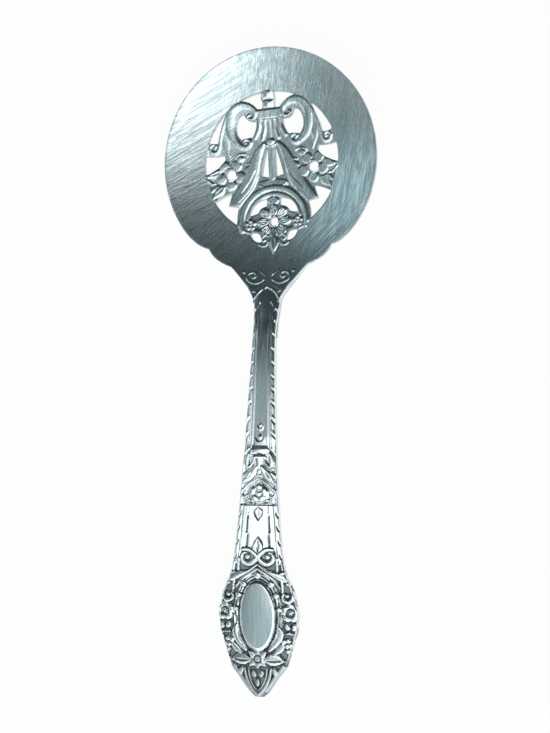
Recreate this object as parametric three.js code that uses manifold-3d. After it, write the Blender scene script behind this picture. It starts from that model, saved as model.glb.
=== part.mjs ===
// Pierced bonbon spoon: a round dished bowl with an openwork panel, and a struck handle whose
// pointed end laps over the bowl's neck and is held there by a film of silver solder.
// Millimetres. +Y runs from the handle's tip to the bowl's far rim, and +Z is up.
import * as THREE from 'three';
import { mergeVertices } from 'three/addons/utils/BufferGeometryUtils.js';
import Module from 'manifold-3d';

const wasm = await Module();
wasm.setup();

// Whole spoon
const length = 130;
const farRim = length / 2;
const tip = -length / 2;

// Bowl: a dish whose far rim is raised, and whose underside is flat where it rests
const bowlRadius = 22.9;
const bowlDepth = 2.5;
const dishPower = 2.4;
const bowlSlope = 0.1;
const sheet = 1.0;
const seatDepth = 0.2;
const bowlY = farRim - bowlRadius;

// Scalloped shoulders, as angles round the bowl and insets from its rim
const rimEnd = -36;
const ogee = { angle: -46.5, inset: 1.1 };
const outerCusp = { angle: -52.8, inset: 1.05 };
const scallop = { angle: -58.7, inset: -0.4 };
const innerCusp = { angle: -69, inset: 0.05 };

// Neck: the handle's pointed end over the bowl's tab, with the solder between them
const archGap = 2.6;
const archHeight = 2.9;
const archHalf = 2.85;
const archSwell = 0.35;
const tabLength = 11;
const lapThickness = 1.0;
const solderThickness = 0.3;
const solderClearance = 0.05;
const jointClearance = 0.3;
const flareReach = 1.8;
const neckCurl = { across: 3.5, above: 1.85, radius: 1.1, growth: -0.2, from: -140, to: 150 };
const archApex = bowlY - bowlRadius - archGap;
const archBase = archApex - archHeight;
const tabEnd = archApex - tabLength;

// Handle: half-widths and heights of its top at stations measured from the tip
const handleThickness = 2.0;
const crown = 0.3;
const tipHalf = 0.55;
const tipPoint = { at: 0.7, half: 1.25 };
const tipShoulder = { at: 2.5, half: 3.05 };
const shieldStation = { at: 4, half: 4.1 };
const leafStation = { at: 8, half: 6.45 };
const berryStation = { at: 11, half: 7.5 };
const roseStation = { at: 16.5, half: 8.4 };
const voluteStation = { at: 21, half: 7.55 };
const gableStation = { at: 24.5, half: 5.95 };
const footStation = { at: 27, half: 5.15, top: 4.1 };
const fluteStation = { at: 35, half: 4.25 };
const collarStation = { at: 48, half: 3.4 };
const waistHalf = 2.4;
const waistTop = 4.0;
const crestTop = 4.5;
const collarY = tip + collarStation.at;
const waistY = archBase + (collarY - archBase) / 4;
const crestY = archBase + (collarY - archBase) * 3 / 4;

// Shaft ornament: two raised lines, rows of nicks along each edge, and a bar over the collar
const lineInset = 0.9;
const lineRadius = 0.28;
const nickPitch = 2.6;
const nickWidth = 0.45;
const nickDepth = 0.45;
const nickLean = 35;
const footNicks = 4;
const barRadius = 0.45;

// Terminal ornament: across from the middle line, and at a distance from the tip
const cartouche = { at: 16, halfWidth: 3.5, halfLength: 6.9, swell: 0.6 };
const rail = { gap: 0.8, radius: 0.4, from: -35, to: 215 };
const bead = { count: 12, radius: 0.62 };
const gable = { across: 2.2, at: 25, rise: 1.2 };
const sideScroll = { across: 5.5, at: 20.3, radius: 1.65, growth: -0.75, from: 70, to: -190 };
const scrollBead = 0.55;
const sideRose = { across: 6.65, petal: 0.85, reach: 1.1, eye: 0.5 };
const berry = { at: 11.2, across: 6.1, radius: 0.6, spread: 0.75 };
const lanceLeaf = { at: 10.9, across: 4.1, halfLength: 2.6, halfWidth: 0.75, lean: 60 };
const tipLeaf = { at: 7.4, across: 3.5, halfLength: 2.5, halfWidth: 1.0, lean: -4 };
const tipFlower = { at: 7.35, petal: 0.55, reach: 1.0, eye: 0.5 };
const tipBud = { at: 3.9, halfLength: 1.9, halfWidth: 0.7 };
const tipShield = [[2.4, 5.9], [1.9, 3.2], [0, 1.0]];
const footVolute = { across: 2.15, at: 27.7, radius: 1.25, growth: -0.2, from: -150, to: 130, eye: 0.5 };
const footBand = [[3.1, 29.3], [1.5, 29.1], [0, 27.9]];
const footBud = { at: 30.5, halfLength: 1.5, halfWidth: 0.8 };
const shaftRose = { at: 40.15, petal: 1.0, reach: 1.4, eye: 0.6 };
const collarArch = [[3.2, 40.6], [1.3, 42.2], [0, 42.8]];
const fallingLeaf = { at: 44.3, across: 1.9, halfLength: 2.1, halfWidth: 0.75, lean: -46 };
const outerLeaf = { at: 46.7, across: 2.45, halfLength: 1.5, halfWidth: 0.55 };
const threadRadius = 0.28;
const petalCount = 5;
const relief = 0.55;
const reliefSink = 0.15;

// Openwork panel: places and sizes in its pattern are shares of its radius, u across and v towards
// the far rim, and the whole is turned a little out of line with the handle.
const panelRadius = 14.5;
const panelTurn = 2.4;
const sideFlower = { u: 0.62, v: -0.11, hole: 0.07, petal: 0.075, reach: 0.145 };
const footFlower = { u: 0, v: -0.83, hole: 0.06, petal: 0.07, length: 0.105, reach: 0.15, petals: 8 };
const curls = [
  { u: 0.27, v: 0.695, radius: 0.08 },
  { u: 0.38, v: 0.295, radius: 0.075 },
  { u: 0.85, v: 0.27, radius: 0.08 },
  { u: 0.35, v: -0.855, radius: 0.085 },
  { u: 0.35, v: -0.07, radius: 0.055 },
  { u: 0.47, v: 0.1, radius: 0.055 },
];
const urnBar = { v: 0.685, halfWidth: 0.165, halfHeight: 0.07 };
const knob = { v: 0.29, radius: 0.065 };
const finial = { v: 0.89, halfWidth: 0.07, halfHeight: 0.075 };
const footLeaf = { v: -1.165, halfWidth: 0.07, halfHeight: 0.125 };
const scroll = { u: 0.365, v: 0.56, radius: 0.225, growth: 0.045, from: 140, to: -75 };
const arch = { v: -0.83, radius: 0.44, from: -12, to: 192 };
const outerBranch = [[0.58, 0.715], [0.685, 0.485], [0.78, 0.29]];
const ribbon = [[0.095, 0.25], [0.235, -0.07], [0.57, -0.49]];
const ridgeRadius = 0.42;

// Facets
const bowlColumns = 14;
const bowlRows = 22;
const handleColumns = 6;
const handleRows = 56;
const curveSteps = 5;
const rimSteps = 72;
const ridgeSides = 4;
const ridgeSteps = 10;
const scrollSteps = 16;
const bossAround = 7;
const bossRings = 4;

const radians = THREE.MathUtils.degToRad;
const reachAbove = length / 3;

// A closed geometry as a solid for cutting and joining
function solid(geometry) {
  geometry.deleteAttribute('normal');
  geometry.deleteAttribute('uv');
  const merged = mergeVertices(geometry);
  return new wasm.Manifold(new wasm.Mesh({
    numProp: 3,
    vertProperties: new Float32Array(merged.attributes.position.array),
    triVerts: new Uint32Array(merged.index.array),
  }));
}

// A solid as a named mesh
function piece(name, body, colour, roughness) {
  const { vertProperties, triVerts } = body.getMesh();
  const geometry = new THREE.BufferGeometry();
  geometry.setAttribute('position', new THREE.BufferAttribute(new Float32Array(vertProperties), 3));
  geometry.setIndex(new THREE.BufferAttribute(new Uint32Array(triVerts), 1));
  geometry.computeVertexNormals();
  const material = new THREE.MeshStandardMaterial({ color: colour, roughness, metalness: 1 });
  const mesh = new THREE.Mesh(geometry, material);
  mesh.name = name;
  return mesh;
}

// A smooth curve through [position, value] pairs given in rising order of position
function through(pairs) {
  const last = pairs.length - 1;
  const slope = pairs.map((pair, i) => {
    const [before, after] = [pairs[Math.max(i - 1, 0)], pairs[Math.min(i + 1, last)]];
    return (after[1] - before[1]) / (after[0] - before[0]);
  });
  return (position) => {
    const after = pairs.findIndex((pair) => position <= pair[0]);
    const i = THREE.MathUtils.clamp(after < 0 ? last : after, 1, last);
    const [start, end] = [pairs[i - 1], pairs[i]];
    const span = end[0] - start[0];
    const t = (position - start[0]) / span;
    const rest = 1 - t;
    return start[1] * rest * rest * (1 + 2 * t) + end[1] * t * t * (3 - 2 * t)
      + span * t * rest * (slope[i - 1] * rest - slope[i] * t);
  };
}

// A closed slab between two heights, lofted along y with a half-width for each y
function loft(from, to, rows, columns, half, top, bottom) {
  const position = [];
  const index = [];
  const stride = columns + 1;
  const layer = stride * (rows + 1);
  for (const height of [top, bottom]) {
    for (let row = 0; row <= rows; row++) {
      const y = from + (to - from) * row / rows;
      for (let column = 0; column <= columns; column++) {
        const share = 2 * column / columns - 1;
        const x = share * half(y);
        position.push(x, y, height(x, y, share));
      }
    }
  }
  const quad = (a, b, c, d) => index.push(a, b, c, a, c, d);
  for (let row = 0; row < rows; row++) {
    for (let column = 0; column < columns; column++) {
      const a = row * stride + column;
      quad(a, a + 1, a + 1 + stride, a + stride);
      quad(layer + a, layer + a + stride, layer + a + 1 + stride, layer + a + 1);
    }
    const left = row * stride;
    const right = left + columns;
    quad(left, left + stride, layer + left + stride, layer + left);
    quad(right, layer + right, layer + right + stride, right + stride);
  }
  const end = rows * stride;
  for (let column = 0; column < columns; column++) {
    quad(column, layer + column, layer + column + 1, column + 1);
    quad(end + column, end + column + 1, layer + end + column + 1, layer + end + column);
  }
  const geometry = new THREE.BufferGeometry();
  geometry.setAttribute('position', new THREE.Float32BufferAttribute(position, 3));
  geometry.setIndex(index);
  return solid(geometry);
}

// An outline drawn straight up and down, well past both faces of the spoon
function prism(shape) {
  const options = { depth: 2 * reachAbove, bevelEnabled: false, curveSegments: curveSteps };
  return solid(new THREE.ExtrudeGeometry(shape, options).translate(0, 0, -reachAbove));
}

// A low rounded boss, sunk a little in the surface under it
function boss(x, y, z, halfWidth, halfLength, height, turn = 0) {
  const geometry = new THREE.SphereGeometry(1, bossAround, bossRings);
  geometry.rotateX(Math.PI / 2).scale(halfWidth, halfLength, height);
  return solid(geometry.rotateZ(radians(turn)).translate(x, y, z - reliefSink));
}

// A rounded ridge along points in space
function ridge(points, radius, steps = ridgeSteps) {
  const corner = (i) => new THREE.Vector2(0, radius).rotateAround(new THREE.Vector2(),
    2 * Math.PI * i / ridgeSides);
  const section = new THREE.Shape(Array.from({ length: ridgeSides }, (_, i) => corner(i)));
  const extrudePath = new THREE.CatmullRomCurve3(points);
  return solid(new THREE.ExtrudeGeometry(section, { steps, bevelEnabled: false, extrudePath }));
}

const joined = (bodies) => bodies.reduce((all, body) => all.add(body));

// Heights of the bowl: a dish of the given power, sloped along y, and set so that its
// lowest point would lie seatDepth under the table
const lowReach = (bowlSlope * bowlRadius ** dishPower / (bowlDepth * dishPower)) ** (1 / (dishPower - 1));
const dishRise = (reach) => bowlDepth * (reach / bowlRadius) ** dishPower;
const bowlMiddle = sheet - seatDepth - dishRise(lowReach) + bowlSlope * lowReach;
const dishTop = (x, y) => bowlMiddle + dishRise(Math.hypot(x, y - bowlY)) + bowlSlope * (y - bowlY);

// Heights and half-widths of the handle
const spine = through([
  [tip, handleThickness],
  [tip + footStation.at, footStation.top],
  [crestY, crestTop],
  [waistY, waistTop],
  [archBase, dishTop(0, archBase)],
  [archApex, dishTop(0, archApex)],
]);
const handleHalf = through([
  [tip, tipHalf],
  ...[tipPoint, tipShoulder, shieldStation, leafStation, berryStation, roseStation, voluteStation,
    gableStation, footStation, fluteStation].map(({ at, half }) => [tip + at, half]),
  [collarY, collarStation.half],
  [waistY, waistHalf],
  [archBase, archHalf],
]);
const handleTop = (x, y) => spine(y) - crown * (x / handleHalf(y)) ** 2;

// The lap is one sloping plane, lapThickness under the handle's top at both its ends
const lapFall = (spine(tabEnd) - spine(archApex)) / tabLength;
const lapPlane = (y) => spine(archApex) - lapThickness + lapFall * (archApex - y);
const tabTop = (x, y) => lapPlane(y) - solderThickness - 2 * solderClearance;

// The handle's pointed end, widened by a clearance where it is cut from the bowl
function archOutline(grow) {
  const half = archHalf + grow;
  const wide = 2 * bowlRadius;
  const shape = new THREE.Shape();
  shape.moveTo(-wide, tip - archGap);
  shape.lineTo(wide, tip - archGap);
  shape.lineTo(wide, archBase);
  shape.lineTo(half, archBase);
  shape.quadraticCurveTo(half / 2 + archSwell, archBase + archHeight / 2 + archSwell, 0, archApex + grow);
  shape.quadraticCurveTo(-half / 2 - archSwell, archBase + archHeight / 2 + archSwell, -half, archBase);
  shape.lineTo(-wide, archBase);
  return shape;
}

// The bowl seen from above: rim, notched and scalloped shoulders, flared neck and tab
function bowlOutline() {
  const at = ({ angle, inset }) => new THREE.Vector2(bowlRadius - inset, 0)
    .rotateAround(new THREE.Vector2(), radians(angle)).add(new THREE.Vector2(0, bowlY));
  const points = [];
  const curve = (start, control, end) => {
    points.push(...new THREE.QuadraticBezierCurve(start, control, end).getPoints(curveSteps).slice(0, -1));
  };
  const tabHalf = handleHalf(tabEnd);
  points.push(new THREE.Vector2(tabHalf, tabEnd));
  points.push(new THREE.Vector2(handleHalf((tabEnd + archBase) / 2), (tabEnd + archBase) / 2));
  const neck = new THREE.Vector2(archHalf, archBase);
  curve(neck, new THREE.Vector2(archHalf + flareReach / 5, archBase + flareReach), at(innerCusp));
  curve(at(innerCusp), at(scallop), at(outerCusp));
  curve(at(outerCusp), at(ogee), at({ angle: rimEnd, inset: 0 }));
  const sweep = 90 - rimEnd;
  for (let i = 0; i < rimSteps / 2; i++) {
    points.push(at({ angle: rimEnd + sweep * i / (rimSteps / 2), inset: 0 }));
  }
  const mirrored = points.map((point) => new THREE.Vector2(-point.x, point.y)).reverse();
  return new THREE.Shape([...points, new THREE.Vector2(0, farRim), ...mirrored]);
}

// A place in the panel's pattern as a place on the spoon
function placed(u, v) {
  const place = new THREE.Vector2(u, v).multiplyScalar(panelRadius);
  return place.rotateAround(new THREE.Vector2(), radians(panelTurn)).add(new THREE.Vector2(0, bowlY));
}

// One opening: it starts along the panel's circle { rim: [from, to] }, in degrees, or at a
// place [u, v], goes on by legs that are straight [u, v] or curved [control u, control v, u, v],
// and closes by a curve with its own control place
function opening(side, first, legs, closing) {
  const path = new THREE.Path();
  if (first.rim) {
    const [from, to] = first.rim.map((angle) => radians(side > 0 ? angle : 180 - angle));
    path.absarc(0, 0, 1, from, to, side > 0);
  } else {
    path.moveTo(side * first[0], first[1]);
  }
  const start = path.curves.length ? path.curves[0].getPoint(0) : path.currentPoint.clone();
  for (const leg of legs) {
    if (leg.length === 2) {
      path.lineTo(side * leg[0], leg[1]);
    } else {
      path.quadraticCurveTo(side * leg[0], leg[1], side * leg[2], leg[3]);
    }
  }
  path.quadraticCurveTo(side * closing[0], closing[1], start.x, start.y);
  const outline = path.getPoints(curveSteps).slice(0, -1).map((point) => placed(point.x, point.y));
  return prism(new THREE.Shape(outline));
}

// A round hole in the panel
function hole(u, v, radius) {
  const centre = placed(u, v);
  return prism(new THREE.Shape().absarc(centre.x, centre.y, radius * panelRadius, 0, 2 * Math.PI));
}

// The pierced openings on one side of the pattern
function sideOpenings(side) {
  return [
    // beside the finial, over the scroll
    opening(side, { rim: [85, 65.5] }, [[0.25, 0.89, 0.17, 0.77], [0.1, 0.77], [0.075, 0.83, 0.095, 0.885]],
      [0.11, 0.925]),
    // the long sliver outside the scroll
    opening(side, { rim: [51.5, 21.8] }, [[0.855, 0.34, 0.785, 0.35]], [0.73, 0.565]),
    // the eye inside the scroll
    opening(side, [0.375, 0.73], [[0.485, 0.715, 0.505, 0.56], [0.515, 0.435, 0.435, 0.37],
      [0.36, 0.395, 0.275, 0.385], [0.19, 0.495, 0.2, 0.61]], [0.345, 0.595]),
    // between the outer curl and the flower's upper leaf
    opening(side, { rim: [10.6, -5.2] }, [[0.855, -0.04, 0.77, 0.025], [0.725, 0.06, 0.69, 0.115],
      [0.705, 0.175]], [0.84, 0.16]),
    // between the flower's lower leaf, the ribbon's tip and the arch
    opening(side, { rim: [-29, -56.8] }, [[0.56, -0.69, 0.515, -0.585], [0.67, -0.555],
      [0.64, -0.475, 0.615, -0.385]], [0.685, -0.38]),
    // the slot beside the stem
    opening(side, [0.065, 0.215], [[0.055, 0.215], [0.055, -0.195], [0.165, -0.17]], [0.125, 0.035]),
    // inside the arch, over the lower flower
    opening(side, [0.1, -0.5], [[0.315, -0.505, 0.37, -0.725], [0.29, -0.715, 0.23, -0.69],
      [0.22, -0.62, 0.105, -0.605]], [0.095, -0.55]),
    // below the lower flower
    opening(side, [0.19, -1.075], [[0.2, -0.98, 0.29, -0.97], [0.365, -0.965, 0.35, -1.005],
      [0.305, -1.115, 0.2, -1.115]], [0.18, -1.105]),
    hole(side * sideFlower.u, sideFlower.v, sideFlower.hole),
  ];
}

// Bosses and ridges of the panel sit on the dish, at places in the pattern
function panelBoss(u, v, halfWidth, halfLength, turn = 0) {
  const { x, y } = placed(u, v);
  return boss(x, y, dishTop(x, y), halfWidth * panelRadius, halfLength * panelRadius, relief,
    turn + panelTurn);
}

function panelRidge(places) {
  const points = places.map(([u, v]) => {
    const { x, y } = placed(u, v);
    return new THREE.Vector3(x, y, dishTop(x, y));
  });
  return ridge(points, ridgeRadius);
}

// Places on an arc about a centre, whose radius grows evenly from its start to its end
function arcPlaces(centreU, centreV, radius, growth, from, to) {
  return Array.from({ length: ridgeSteps + 1 }, (_, i) => {
    const share = i / ridgeSteps;
    const angle = radians(from + (to - from) * share);
    const reach = radius + growth * share;
    return [centreU + reach * Math.cos(angle), centreV + reach * Math.sin(angle)];
  });
}

// The curl that is chased on one side of the bowl's neck
function neckRidge(side) {
  const { across, above, radius, growth, from, to } = neckCurl;
  const curl = arcPlaces(across, archApex + above, radius, growth, from, to);
  const places = [[threadRadius, archApex + above], ...curl];
  return ridge(places.map(([x, y]) => new THREE.Vector3(side * x, y, dishTop(x, y))), threadRadius);
}

// A flower's petals as places round its eye
function petalPlaces(count, reach, first = 90) {
  return Array.from({ length: count }, (_, i) => {
    const angle = first + 360 * i / count;
    return { x: reach * Math.cos(radians(angle)), y: reach * Math.sin(radians(angle)), angle };
  });
}

function sideRelief(side) {
  const { u, v, petal, reach } = sideFlower;
  const mirror = (places) => places.map((place) => [side * place[0], place[1]]);
  return [
    ...curls.map((curl) => panelBoss(side * curl.u, curl.v, curl.radius, curl.radius)),
    ...petalPlaces(petalCount, reach, -90).map((place) =>
      panelBoss(side * (u + place.x), v + place.y, petal, petal)),
    panelRidge(mirror(arcPlaces(scroll.u, scroll.v, scroll.radius, scroll.growth, scroll.from, scroll.to))),
    panelRidge(mirror(outerBranch)),
    panelRidge(mirror(ribbon)),
  ];
}

function makeBowl() {
  const shoulder = bowlY - bowlRadius + archGap;
  const thickness = (y) => THREE.MathUtils.mapLinear(
    THREE.MathUtils.smoothstep(y, archApex, shoulder), 0, 1, handleThickness, sheet);
  const neckTop = (x, y) => spine(y) + dishTop(x, archApex) - dishTop(0, archApex);
  const top = (x, y) => (y < archApex ? neckTop(x, y) : dishTop(x, y));
  const bottom = (x, y) => top(x, y) - thickness(y);
  const half = () => bowlRadius + sheet;
  const pan = loft(tabEnd - sheet, farRim + sheet, bowlRows, bowlColumns, half, top, bottom);
  const overTab = loft(tabEnd - tabLength, archApex + archGap, 1, 1, half, () => reachAbove, tabTop);
  const lapPocket = overTab.intersect(prism(archOutline(jointClearance)));
  const openings = joined([
    ...sideOpenings(1),
    ...sideOpenings(-1),
    hole(footFlower.u, footFlower.v, footFlower.hole),
  ]);
  const flower = petalPlaces(footFlower.petals, footFlower.reach).map(({ x, y, angle }) =>
    panelBoss(x + footFlower.u, y + footFlower.v, footFlower.length, footFlower.petal, angle));
  const ornament = joined([
    ...sideRelief(1),
    ...sideRelief(-1),
    ...flower,
    panelBoss(0, urnBar.v, urnBar.halfWidth, urnBar.halfHeight),
    panelBoss(0, knob.v, knob.radius, knob.radius),
    panelBoss(0, finial.v, finial.halfWidth, finial.halfHeight),
    panelBoss(0, footLeaf.v, footLeaf.halfWidth, footLeaf.halfHeight),
    panelRidge(arcPlaces(0, arch.v, arch.radius, 0, arch.from, arch.to)),
    neckRidge(1),
    neckRidge(-1),
  ]);
  const aboveTable = loft(tip, 2 * farRim, 1, 1, () => 2 * bowlRadius, () => reachAbove, () => 0);
  const plate = pan.intersect(prism(bowlOutline())).subtract(lapPocket);
  return plate.add(ornament).subtract(openings).intersect(aboveTable);
}

function makeSolder() {
  const half = () => bowlRadius;
  const top = (x, y) => lapPlane(y) - solderClearance;
  const bottom = (x, y) => top(x, y) - solderThickness;
  const film = loft(tabEnd, archApex, 1, 1, half, top, bottom);
  return film.intersect(prism(bowlOutline())).intersect(prism(archOutline(0)));
}

// A rose on the handle
function rose(x, y, count, petal, reach, eye) {
  const at = (dx, dy, radius) => boss(x + dx, y + dy, handleTop(x + dx, y + dy), radius, radius, relief);
  return [...petalPlaces(count, reach).map((place) => at(place.x, place.y, petal)), at(0, 0, eye)];
}

// A ridge on the handle through places [across, distance from the tip], and its mirror image
const mirrored = (places) => places.map(([across, at]) => [-across, at]);
function handleRidge(places, radius, steps) {
  const points = places.map(([x, at]) => new THREE.Vector3(x, tip + at, handleTop(x, tip + at)));
  return ridge(points, radius, steps);
}

function terminalRelief() {
  const on = (x, at, halfWidth, halfLength, height = relief, turn = 0) =>
    boss(x, tip + at, handleTop(x, tip + at), halfWidth, halfLength, height, turn);
  const both = (make) => [make(1), make(-1)].flat();
  const leafPair = ({ across, at, halfLength, halfWidth, lean }) =>
    both((s) => on(s * across, at, halfLength, halfWidth, relief, s * lean));
  const ridgePair = (places, radius, steps) =>
    [handleRidge(places, radius, steps), handleRidge(mirrored(places), radius, steps)];
  const arched = (places) => [...places.slice(0, -1), ...mirrored(places).reverse()];
  const railPlace = ([x, y]) => [
    x * (cartouche.halfWidth + rail.gap),
    cartouche.at + y * (cartouche.halfLength + rail.gap),
  ];
  const railPlaces = arcPlaces(0, 0, 1, 0, rail.from, rail.to).map(railPlace);
  const beads = petalPlaces(bead.count, 1).map(({ x, y }) => railPlace([x, y]));
  const volute = ({ across, at, radius, growth, from, to }) =>
    arcPlaces(across, at, radius, growth, from, to);
  const gablePlaces = [[0, gable.at + gable.rise], [gable.across, gable.at], ...volute(sideScroll)];
  const footPlaces = [...mirrored(footBand), ...volute(footVolute)];
  return [
    on(0, cartouche.at, cartouche.halfWidth, cartouche.halfLength, cartouche.swell),
    handleRidge(railPlaces, rail.radius, scrollSteps),
    ...beads.map(([x, at]) => on(x, at, bead.radius, bead.radius)),
    ...ridgePair(gablePlaces, ridgeRadius, scrollSteps),
    ...both((s) => on(s * sideScroll.across, sideScroll.at, scrollBead, scrollBead)),
    ...both((s) => rose(s * sideRose.across, tip + roseStation.at, petalCount, sideRose.petal,
      sideRose.reach, sideRose.eye)),
    ...both((s) => petalPlaces(3, berry.spread).map((place) => on(s * berry.across + place.x,
      berry.at + place.y, berry.radius, berry.radius))),
    ...leafPair(lanceLeaf),
    ...leafPair(tipLeaf),
    ...rose(0, tip + tipFlower.at, petalCount, tipFlower.petal, tipFlower.reach, tipFlower.eye),
    on(0, tipBud.at, tipBud.halfWidth, tipBud.halfLength),
    handleRidge(arched(tipShield), threadRadius, ridgeSteps),
    ...ridgePair(footPlaces, ridgeRadius, scrollSteps),
    ...both((s) => on(s * footVolute.across, footVolute.at, footVolute.eye, footVolute.eye)),
    on(0, footBud.at, footBud.halfWidth, footBud.halfLength),
    ...rose(0, tip + shaftRose.at, petalCount, shaftRose.petal, shaftRose.reach, shaftRose.eye),
    handleRidge(arched(collarArch), threadRadius, ridgeSteps),
    ...leafPair(fallingLeaf),
    ...both((s) => on(s * outerLeaf.across, outerLeaf.at, outerLeaf.halfWidth, outerLeaf.halfLength)),
  ];
}

function shaftRelief() {
  const line = (side) => {
    const places = Array.from({ length: ridgeSteps }, (_, i) => {
      const y = THREE.MathUtils.lerp(archBase, collarY, i / (ridgeSteps - 1));
      const x = side * (handleHalf(y) - lineInset);
      return new THREE.Vector3(x, y, handleTop(x, y));
    });
    return ridge(places, lineRadius, ridgeSteps / 2);
  };
  const barHalf = collarStation.half - lineInset;
  const barEnd = (side) => new THREE.Vector3(side * barHalf, collarY, handleTop(0, collarY));
  return [line(1), line(-1), ridge([barEnd(1), barEnd(-1)], barRadius, 1)];
}

// Slanting nicks that notch both edges of the shaft and of its fluted foot
function edgeNicks() {
  const run = archBase - collarY;
  const count = Math.floor(run / nickPitch) - 2;
  const places = [
    ...Array.from({ length: count }, (_, i) => archBase - nickPitch * (i + 1.5)),
    ...Array.from({ length: footNicks }, (_, i) => tip + footStation.at + nickPitch * (i + 0.5)),
  ];
  const nick = (side, y) => {
    const x = side * handleHalf(y);
    const cut = new THREE.BoxGeometry(2 * nickDepth, nickWidth, 2 * nickDepth);
    cut.rotateZ(radians(side * -nickLean)).translate(x, y, handleTop(x, y));
    return solid(cut);
  };
  return joined(places.flatMap((y) => [nick(1, y), nick(-1, y)]));
}

function makeHandle() {
  const half = (y) => handleHalf(Math.min(y, archBase));
  const top = (x, y, share) => spine(y) - crown * share * share;
  const bottom = (x, y) => spine(y) - handleThickness;
  const bar = loft(tip, archApex + archGap, handleRows, handleColumns, half, top, bottom);
  const wide = () => 2 * bowlRadius;
  const underLap = loft(tabEnd - jointClearance, archApex + 2 * archGap, 1, 1, wide, (x, y) => lapPlane(y),
    () => -reachAbove);
  const shaped = bar.intersect(prism(archOutline(0))).subtract(underLap);
  return shaped.add(joined([...terminalRelief(), ...shaftRelief()])).subtract(edgeNicks());
}

const spoon = new THREE.Group();
spoon.add(piece('pierced_bowl', makeBowl(), 0xb4c0c0, 0.25));
spoon.add(piece('handle', makeHandle(), 0xbcc6c6, 0.25));
spoon.add(piece('solder_seam', makeSolder(), 0xa9b0ae, 0.4));

export default spoon;
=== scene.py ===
"""A silver-plated bonbon spoon: a round pierced bowl with chased scrolls and flowers, and a struck
handle soldered over its neck. Sizes and places are in millimetres, meshes in metres, and the frame
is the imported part's: +Y from the handle's tip to the bowl's far rim, +Z up out of the bowl."""

import bpy
import numpy as np
from mathutils import Matrix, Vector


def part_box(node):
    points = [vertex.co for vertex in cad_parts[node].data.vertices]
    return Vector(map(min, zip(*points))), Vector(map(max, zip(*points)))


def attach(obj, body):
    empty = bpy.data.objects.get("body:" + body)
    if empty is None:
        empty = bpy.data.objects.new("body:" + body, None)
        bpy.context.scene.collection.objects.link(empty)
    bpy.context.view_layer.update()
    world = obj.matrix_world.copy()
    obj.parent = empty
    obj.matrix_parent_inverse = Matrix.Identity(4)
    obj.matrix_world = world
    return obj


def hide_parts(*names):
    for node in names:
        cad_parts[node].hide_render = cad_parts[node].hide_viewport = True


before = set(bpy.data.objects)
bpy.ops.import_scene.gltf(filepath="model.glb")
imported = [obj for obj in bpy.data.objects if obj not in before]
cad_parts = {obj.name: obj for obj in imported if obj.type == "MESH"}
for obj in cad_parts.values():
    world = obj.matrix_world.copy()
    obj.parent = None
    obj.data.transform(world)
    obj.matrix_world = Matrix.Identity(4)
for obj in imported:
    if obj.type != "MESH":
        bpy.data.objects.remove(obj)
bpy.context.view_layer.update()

# Pierced bowl: one round sheet of silver-plated copper alloy, dished and raised at its far rim,
# with notched shoulders and a tab that runs under the handle. The openwork panel is sawn out, and
# its urn, scrolls, ribbons and flowers are chased into the sheet that is left.
MM = 0.001
FAR_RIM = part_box("pierced_bowl")[1].y / MM
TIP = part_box("handle")[0].y / MM
BOWL_RADIUS = 22.9
BOWL_DEPTH = 2.5
DISH_POWER = 2.4
BOWL_SLOPE = 0.1
SHEET = 1.0
SEAT_DEPTH = 0.2
BOWL_Y = FAR_RIM - BOWL_RADIUS
RIM_END = -36
OGEE = (-46.5, -0.3)
OUTER_CUSP = (-52.8, 1.05)
SCALLOP = (-58.7, -0.4)
INNER_CUSP = (-69, 0.05)
ARCH_GAP = 2.6
ARCH_HEIGHT = 2.9
ARCH_HALF = 2.85
ARCH_SWELL = 0.35
TAB_LENGTH = 11
TAB_HALF = 2.4
LAP_THICKNESS = 1.0
SOLDER_THICKNESS = 0.4
FLARE_REACH = 1.8
HANDLE_THICKNESS = 2.0
ARCH_APEX = BOWL_Y - BOWL_RADIUS - ARCH_GAP
ARCH_BASE = ARCH_APEX - ARCH_HEIGHT
TAB_END = ARCH_APEX - TAB_LENGTH
PANEL_RADIUS = 14.5
PANEL_TURN = np.radians(2.4)
LOW_REACH = (BOWL_SLOPE * BOWL_RADIUS ** DISH_POWER / (BOWL_DEPTH * DISH_POWER)) ** (1 / (DISH_POWER - 1))


def dish_rise(reach):
    """Height over the middle of the dish: its depth times (reach / radius) to a power."""
    return BOWL_DEPTH * (reach / BOWL_RADIUS) ** DISH_POWER


BOWL_MIDDLE = SHEET - SEAT_DEPTH - dish_rise(LOW_REACH) + BOWL_SLOPE * LOW_REACH


def dish_top(x, y):
    """Upper face of the plain dish: its rise from the middle, plus a slope along y."""
    return BOWL_MIDDLE + dish_rise(np.hypot(x, y - BOWL_Y)) + BOWL_SLOPE * (y - BOWL_Y)


def through(places, values, at):
    """A smooth curve through pairs: cubics whose slope at a pair is that between its neighbours."""
    places, values = np.asarray(places, float), np.asarray(values, float)
    before = np.maximum(np.arange(len(places)) - 1, 0)
    after = np.minimum(np.arange(len(places)) + 1, len(places) - 1)
    slope = (values[after] - values[before]) / (places[after] - places[before])
    i = np.clip(np.searchsorted(places, at), 1, len(places) - 1)
    span = places[i] - places[i - 1]
    t = (at - places[i - 1]) / span
    return (values[i - 1] * (1 - t) ** 2 * (1 + 2 * t) + values[i] * t ** 2 * (3 - 2 * t)
            + span * t * (1 - t) * (slope[i - 1] * (1 - t) - slope[i] * t))


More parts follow.
